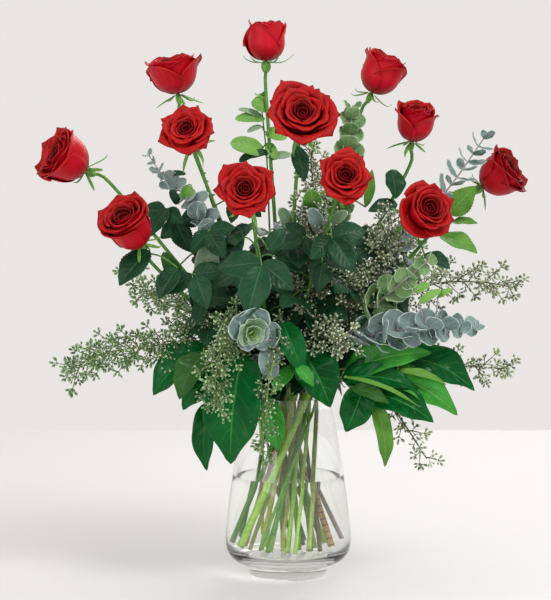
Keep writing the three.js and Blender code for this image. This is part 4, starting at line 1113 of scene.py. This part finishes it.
def leaf_pairs(shape, line, spray):
    toward = spray.get("toward", 0)
    for pair in range(spray["pairs"]):
        share = pair / (spray["pairs"] - 1)
        point, along = along_line(line, mixed(spray["start"], spray.get("end", 0.99), share))
        size = mixed(*spray["sizes"], share ** spray.get("swell", 1)) * MM * chance.uniform(0.92, 1.08)
        if spray.get("aim"):
            across = square_to(along, Vector((0.2, -1, 0.1)))
        else:
            across = along.cross(UP).normalized()
        across.rotate(Quaternion(along, pair * math.pi / 2 + chance.uniform(-0.5, 0.5)))
        for side in (-1, 1):
            lean = spray["lean"] * chance.uniform(0.8, 1.2)
            reach = (across * side + along * lean).normalized() * size
            face = (along - across * side * lean).normalized() + Vector((0, -1, 0.15)) * toward
            face.rotate(Quaternion(reach.normalized(), chance.uniform(-0.5, 0.5)))
            root = point + Vector((0, -0.0012, 0)) * toward
            leaf(shape, root, root + reach, face, size * spray.get("narrow", 1.02), rounded, fold=0.22,
                 arch=-0.1, wave=0.08, columns=8, rows=10)


def rosette(looks, place, facing):
    """Round leaves packed about a tip that faces the viewer: four rings, the inner ones upright."""
    side = facing.orthogonal().normalized()
    for ring, (count, size, tilt) in enumerate(ROSETTE_RINGS):
        for i in range(count):
            out = side.copy()
            out.rotate(Quaternion(facing, math.tau * i / count + 0.7 * ring + chance.uniform(-0.25, 0.25)))
            grown = size * MM * chance.uniform(0.88, 1.12) * (1 + 0.3 * out.dot(Vector((-0.6, 0, 0.8))))
            reach = (out * math.sin(tilt) + facing * math.cos(tilt)) * grown
            face = (facing * math.sin(tilt) - out * math.cos(tilt)).normalized()
            leaf(looks[ring], place, place + reach, face, grown * 1.1, rounded, fold=0.25,
                 arch=-0.12, wave=0.16, columns=8, rows=10)


# %% Round-leaf sprays
for name, spray in ROUND_LEAF_SPRAYS.items():
    stems = new_shape()
    shapes = {look: new_shape() for look in ROUND_LOOKS}
    forks = spray_stems(stems, name, spray, [path["places"] for path in spray["paths"]])
    for line, path in zip(forks, spray["paths"]):
        leaf_pairs(shapes[path.get("leaf", spray.get("leaf", "blue"))], line, path)
    for root, tip, wide, look in spray.get("seen", []):
        near, far = spray["depth"]
        start = sight(*root, near)
        reach = sight(*tip, far)
        twig = nearest([point for line in forks for point in line], start)
        tube(stems, [twig, twig.lerp(start, 0.5), start], [0.0008] * 3, 6)
        face = square_to(reach - start, Vector((0, -1, 0.5)))
        leaf(shapes[look], start, reach, face, wide * PIXEL, rounded, fold=0.2, arch=0.1, wave=0.06,
             rows=16)
    if name == "eucalyptus_front":
        looks = [shapes[look] for look in ("blue", "soft", "fresh", "green")]
        rosette(looks, sight(*ROSETTE_SEEN), Vector(ROSETTE_FACING).normalized())
    twig_look = green_stem if spray.get("leaf") == "green" else grey_stem
    finish(stems, f"{name}_twigs", [twig_look], [name])
    for look, shape in shapes.items():
        finish(shape, f"{name}_{look}", [ROUND_LOOKS[look]], [name], thickness=LEAF_WALL)

# %% [markdown]
# ## Seeded eucalyptus
#
# Thin branchlets leave the stem in turn and carry umbels of seed capsules, like tiny wine glasses on
# short stalks. There are thousands of capsules, so each is only a couple of dozen faces. A few umbels
# are made once and copied along the sprays, each copy turned, scaled and tinted at random.

# %% Seed umbels
SEED_LONG, SEED_WIDE = 4.6, 2.5  # millimetres
# A capsule's outline from its root to its mouth: shares of its width, and of its length.
CAPSULE = [0, 0.7, 1.0, 0.9, 0.62, 0]
CAPSULE_AT = [0, 0.22, 0.55, 0.8, 0.98, 1]


def capsule(shape, root, direction, scale):
    side = direction.orthogonal().normalized()
    other = direction.cross(side)

    def rule(x, y):
        row = round(y * 5)
        out = side * math.cos(math.tau * x) + other * math.sin(math.tau * x)
        rise = CAPSULE_AT[row] * SEED_LONG * scale * MM
        return root + direction * rise + out * (CAPSULE[row] * SEED_WIDE / 2 * scale * MM)

    merge_seams(shape, bent_grid(shape, 5, 5, rule))


def make_umbel(count):
    """A small bunch of capsules about +Z, as a mesh to copy."""
    shape = new_shape()
    tip = mm(0, 0, 4.5)
    tube(shape, [mm(0, 0, 0), tip], [0.0005, 0.0005], 3)
    for i in range(count):
        turn = GOLDEN_TURN * i
        tilt = 0.2 + 1.15 * math.sqrt(i / count)
        out = Vector((math.cos(turn) * math.sin(tilt), math.sin(turn) * math.sin(tilt), math.cos(tilt)))
        root = tip + out * (chance.uniform(2.2, 4.0) * MM)
        tube(shape, [tip, root], [0.0004, 0.0005], 3)
        capsule(shape, root, out, chance.uniform(0.8, 1.15))
    return as_mesh(shape, "umbel")


UMBELS = [make_umbel(count) for count in (3, 4, 5, 6, 7, 7)]
print("umbels of", [len(mesh.polygons) for mesh in UMBELS], "faces")


def add_copy(shape, mesh, place, direction, scale):
    """A copy of a mesh with its root at a place, pointing in a direction, with a tint of its own."""
    copy = mesh.copy()
    turn = Quaternion(direction, any_turn()) @ UP.rotation_difference(direction)
    copy.transform(Matrix.LocRotScale(place, turn, Vector((scale,) * 3)))
    copy.attributes["tint"].data.foreach_set("value", [chance.random()] * len(copy.vertices))
    shape.from_mesh(copy)
    bpy.data.meshes.remove(copy)


# %% Where the seeded sprays run
# Per path: its places, where on it the branchlets begin, how many there are, and their first and last
# length in millimetres.
SEEDED_SPRAYS = {
    "seeded_left": dict(ring=3, azimuth=170, radius=2.2, look=grey_stem, seed="green", paths=[
        ([(-85, -25, 262), (-150, -56, 264), (-202, -60, 256), (-238, -56, 239)], 0.3, 50, (36, 20)),
        ([(-96, -22, 290), (-150, -32, 315), (-171, -32, 342)], 0.45, 15, (22, 12))]),
    "seeded_front": dict(ring=3, azimuth=235, radius=1.8, look=brown_stem, seed="green", paths=[
        ([(-52, -84, 282), (-62, -112, 285), (-76, -124, 250), (-80, -126, 208)], 0.3, 34, (30, 14)),
        ([(-16, -96, 262), (-22, -112, 226), (-29, -112, 156)], 0.3, 16, (14, 8))]),
    "seeded_centre": dict(ring=0, azimuth=30, radius=2, look=pale_stem, seed="brown",
                          bends=((0.30, 2.4), (0.46, -2.6), (0.62, 2.0)), paths=[
        ([(12, -30, 315), (28, -30, 401), (24, -14, 480)], 0.22, 44, (42, 14)),
        ([(22, -50, 270), (58, -98, 274)], 0.35, 20, (26, 14))]),
    "seeded_right": dict(ring=2, azimuth=355, radius=2.2, look=olive_stem, seed="brown", paths=[
        ([(72, -42, 320), (102, -58, 370), (112, -62, 402)], 0.25, 40, (38, 22)),
        ([(110, -16, 306), (160, -28, 330), (212, -20, 332), (254, -10, 325)], 0.3, 30, (34, 14))]),
    "seeded_low": dict(ring=3, azimuth=25, radius=1.8, look=green_stem, seed="brown", paths=[
        ([(100, -12, 244), (180, -28, 240), (242, -30, 236)], 0.6, 12, (22, 14)),
        ([(78, -40, 222), (114, -66, 196), (150, -86, 144)], 0.5, 8, (22, 14))]),
    "seeded_back": dict(ring=2, azimuth=70, radius=2.2, look=bright_stem, seed="green", paths=[
        ([(50, 66, 300), (112, 92, 340), (152, 100, 352)], 0.3, 30, (30, 12)),
        ([(-60, 56, 280), (-128, 84, 300), (-168, 94, 312)], 0.3, 30, (30, 12))]),
}
SEED_LOOKS = {"green": (green_seed, olive_stem), "brown": (brown_seed, brown_stem)}
print("seeded sprays", len(SEEDED_SPRAYS))

# %% Seeded sprays
def seed_branchlet(stems, seeds, point, heading, length):
    """A thin side twig with umbels along it and a full one at its end."""
    tip = point + heading * length
    twig = smooth_line([point, point.lerp(tip, 0.5) + Vector((0, 0, 0.06 * length)), tip], 6)
    tube(stems, twig, [mixed(0.0008, 0.0005, i / 6) for i in range(7)], 4, 0.6)
    add_copy(seeds, chance.choice(UMBELS[2:]), tip, heading, chance.uniform(1.0, 1.25))
    count = max(int(length / 0.008), 1)
    for i in range(count):
        where, toward = along_line(twig, 0.3 + 0.65 * i / count)
        for side in (0, math.pi):
            turn = toward.orthogonal().normalized()
            turn.rotate(Quaternion(toward, i * math.pi / 2 + side + chance.uniform(-0.4, 0.4)))
            add_copy(seeds, chance.choice(UMBELS[:3]), where, (turn + toward * 0.7).normalized(),
                     chance.uniform(0.85, 1.15))


for name, spray in SEEDED_SPRAYS.items():
    stems, seeds = new_shape(), new_shape()
    forks = spray_stems(stems, name, spray, [path[0] for path in spray["paths"]])
    for line, (_, start, count, (first, last)) in zip(forks, spray["paths"]):
        for i in range(count):
            share = i / (count - 1)
            point, along = along_line(line, mixed(start, 0.99, share))
            out = along.orthogonal().normalized()
            out.rotate(Quaternion(along, i * GOLDEN_TURN + chance.uniform(-0.4, 0.4)))
            heading = (out * (1 - 0.4 * share) + along * 0.6).normalized()
            length = mixed(first, last, share) * MM * chance.uniform(0.6, 1.1)
            seed_branchlet(stems, seeds, point, heading, length)
    seed_look, twig_look = SEED_LOOKS[spray["seed"]]
    finish(stems, f"{name}_twigs", [twig_look], [name])
    finish(seeds, f"{name}_seeds", [seed_look], [name])

# %% [markdown]
# ## Vase and water
#
# The vase is turned: half of its outline, outside and inside, is spun about the axis. The glass is
# thick at the floor, which stands on a short solid foot. The water fills it a little past the glass
# wall's inner face, so that no air gap lies between them, which would look like a mirror. Shadows of
# the glass are drawn thin, because real glass lets most of the light through.

# %% Glass and water materials
def clear_material(name, ior, tint, sheer=0.0):
    """Clear glass or water. The sheer share of it lets light straight through."""
    recipe = Recipe(name, Base_Color=(*tint, 1), Roughness=0.0, IOR=ior, Transmission_Weight=1.0,
                    Specular_IOR_Level=0.25)
    clear = recipe.node("ShaderNodeBsdfTransparent", {"Color": (*[0.5 + v / 2 for v in tint], 1)})
    path = recipe.node("ShaderNodeLightPath")
    share = recipe.math("MAXIMUM", path.outputs["Is Shadow Ray"], sheer)
    mixer = recipe.node("ShaderNodeMixShader", {0: share})
    recipe.tree.links.new(recipe.shader.outputs[0], mixer.inputs[1])
    recipe.tree.links.new(clear.outputs[0], mixer.inputs[2])
    output = recipe.tree.nodes["Material Output"]
    recipe.tree.links.new(mixer.outputs[0], output.inputs["Surface"])
    return recipe.material


clear_glass = clear_material("clear_glass", 1.45, (0.99, 1.0, 0.99))
lip_glass = clear_material("lip_glass", 1.5, (1.0, 1.0, 0.97), sheer=0.85)
clear_water = clear_material("clear_water", 1.12, (0.995, 1.0, 0.99))
water_surface = clear_material("water_surface", 1.12, (0.995, 1.0, 0.99), sheer=0.7)
print("finishes, with glass and water", len(bpy.data.materials))

# %% Turned shapes
TURN_STEPS = 128
# Sizes of the vase, in millimetres.
FOOT_RADIUS, FOOT_HEIGHT, BODY_RADIUS, SHOULDER_HEIGHT, WALL_START = 44, 12, 71, 38, 46
BOW_RADIUS, BOW_HEIGHT, NECK_RADIUS, NECK_HEIGHT, LIP_RADIUS = 62.6, 129, 49, 188, 52
WALL, LIP_WALL, GLASS_FLOOR, FLOOR_CURVE, WATER_LEVEL, OVERLAP = 4, 2, 24, 19, 112, 0.4
INNER_LIP = (LIP_RADIUS - LIP_WALL, VASE_HEIGHT - 0.6)


def bow(start, corner, end, steps):
    """Points on a bow from start to end that is pulled towards a corner, after the start itself."""
    a, b, c = (Vector(p) for p in (start, corner, end))
    shares = [i / steps for i in range(1, steps + 1)]
    return [tuple(a * (1 - t) ** 2 + b * (2 * t * (1 - t)) + c * t * t) for t in shares]


def turned(name, outline, materials, node, top):
    """A piece spun from half of its outline; faces above the top height take the second material."""
    shape = bmesh.new()
    points = [shape.verts.new(mm(radius, 0, height)) for radius, height in outline]
    edges = [shape.edges.new(pair) for pair in zip(points, points[1:])]
    bmesh.ops.spin(shape, geom=points + edges, axis=(0, 0, 1), cent=(0, 0, 0), angle=math.tau,
                   steps=TURN_STEPS, use_merge=True)
    bmesh.ops.remove_doubles(shape, verts=shape.verts, dist=1e-6)
    bmesh.ops.recalc_face_normals(shape, faces=shape.faces)
    for face in shape.faces:
        face.material_index = int(face.calc_center_median().z > top * MM)
    finish(shape, name, materials, [node])


def hollow(grown=0.0):
    """The inside of the vase from its lip down to the middle of its floor, grown into the glass."""
    neck, body, floor_at = NECK_RADIUS - WALL + grown, BODY_RADIUS - WALL + grown, GLASS_FLOOR - grown
    inside = bow(INNER_LIP, (neck, VASE_HEIGHT - 8), (neck, NECK_HEIGHT), 8)
    inside += bow((neck, NECK_HEIGHT), (BOW_RADIUS - WALL + grown, BOW_HEIGHT), (body, WALL_START), 16)
    inside += [(body, SHOULDER_HEIGHT)]
    inside += bow((body, SHOULDER_HEIGHT), (body - 1, floor_at), (body - FLOOR_CURVE, floor_at), 10)
    return inside + [(0, floor_at)]


# %% Vase and water
foot_top = (FOOT_RADIUS + 3, FOOT_HEIGHT)
outside = [(0, 0), (FOOT_RADIUS - 3, 0)]
outside += bow((FOOT_RADIUS - 3, 0), (FOOT_RADIUS, 0), (FOOT_RADIUS, 3), 4)
outside += [(FOOT_RADIUS, FOOT_HEIGHT - 2)]
outside += bow((FOOT_RADIUS, FOOT_HEIGHT - 2), (FOOT_RADIUS, FOOT_HEIGHT), foot_top, 4)
outside += bow(foot_top, (BODY_RADIUS - 1, FOOT_HEIGHT + 4), (BODY_RADIUS, SHOULDER_HEIGHT), 14)
outside += [(BODY_RADIUS, WALL_START)]
outside += bow((BODY_RADIUS, WALL_START), (BOW_RADIUS, BOW_HEIGHT), (NECK_RADIUS, NECK_HEIGHT), 20)
outside += bow((NECK_RADIUS, NECK_HEIGHT), (NECK_RADIUS, VASE_HEIGHT - 8), (LIP_RADIUS, VASE_HEIGHT - 1), 10)
outside += bow((LIP_RADIUS, VASE_HEIGHT - 1), (LIP_RADIUS - 0.8, VASE_HEIGHT + 0.4), INNER_LIP, 6)
turned("glass_vase", outside + hollow(), [clear_glass, lip_glass], "vase", VASE_HEIGHT - 2.5)

surface = [(radius, height) for radius, height in hollow(OVERLAP) if height < WATER_LEVEL]
rim = surface[0][0]
meniscus = [(0, WATER_LEVEL)]
meniscus += [(rim - away, WATER_LEVEL + rise) for away, rise in ((5, 0), (2, 0.2), (0.8, 0.8))]
turned("water_body", meniscus + surface, [clear_water, water_surface], "water", WATER_LEVEL - 0.1)

# %% [markdown]
# ## Floor and light
#
# A plain white table, and a pale room around it. The world is bright at the level of the eye
# and darker overhead: with an even white sky every leaf would mirror it and look grey. A large soft
# light high on the right shapes the petals and throws the soft shadow to the left, a wide one in
# front fills, and one from behind lights the glass and the rims of the leaves.

# %% Floor
floor_shape = bmesh.new()
bmesh.ops.create_grid(floor_shape, x_segments=1, y_segments=1, size=2.5,
                      matrix=Matrix.Translation((0, -1.33, 0)))
floor_mesh = as_mesh(floor_shape, "floor")
floor = add_object("floor", floor_mesh)
floor_paint = Recipe("floor_paint", Base_Color=(0.685, 0.672, 0.658, 1), Roughness=0.6,
                     Emission_Color=(1, 0.97, 0.93, 1), Emission_Strength=0.08)
floor_mesh.materials.append(floor_paint.material)
print("the floor is", tuple(round(v, 2) for v in floor.dimensions[:2]), "m")

# %% World and lamps
world = bpy.data.worlds.new("studio")
world.use_nodes = True
tree = world.node_tree
direction = tree.nodes.new("ShaderNodeTexCoord")
height = tree.nodes.new("ShaderNodeSeparateXYZ")
falloff = tree.nodes.new("ShaderNodeMapRange")
falloff.interpolation_type = "SMOOTHSTEP"
for socket, value in (("From Min", 0.15), ("From Max", 0.6), ("To Min", 0.92), ("To Max", 0.4)):
    falloff.inputs[socket].default_value = value
tree.links.new(direction.outputs["Generated"], height.inputs[0])
tree.links.new(height.outputs["Z"], falloff.inputs["Value"])
tree.links.new(falloff.outputs[0], tree.nodes["Background"].inputs["Strength"])
tree.nodes["Background"].inputs["Color"].default_value = (0.88, 0.855, 0.83, 1)
bpy.context.scene.world = world
bpy.context.scene.view_settings.view_transform = "Standard"


def soft_light(name, place, target, wide, power):
    data = bpy.data.lights.new(name, "AREA")
    data.shape, data.size, data.size_y, data.energy = "RECTANGLE", wide, wide, power
    lamp = add_object(name, data)
    lamp.location = place
    lamp.rotation_euler = (Vector(place) - Vector(target)).to_track_quat("Z", "Y").to_euler()


MIDDLE = (0, 0, 0.35)
soft_light("key", (1.8, -2.3, 3.3), MIDDLE, 1.4, 86)
soft_light("fill", (-1.6, -1.9, 1.0), MIDDLE, 1.4, 14)
soft_light("back", (0.6, 1.8, 1.5), MIDDLE, 1.2, 16)
soft_light("overhead", (0.0, 0.2, 2.4), (0, 0, 0), 2.6, 20)
print("lamps", len(bpy.data.lights))
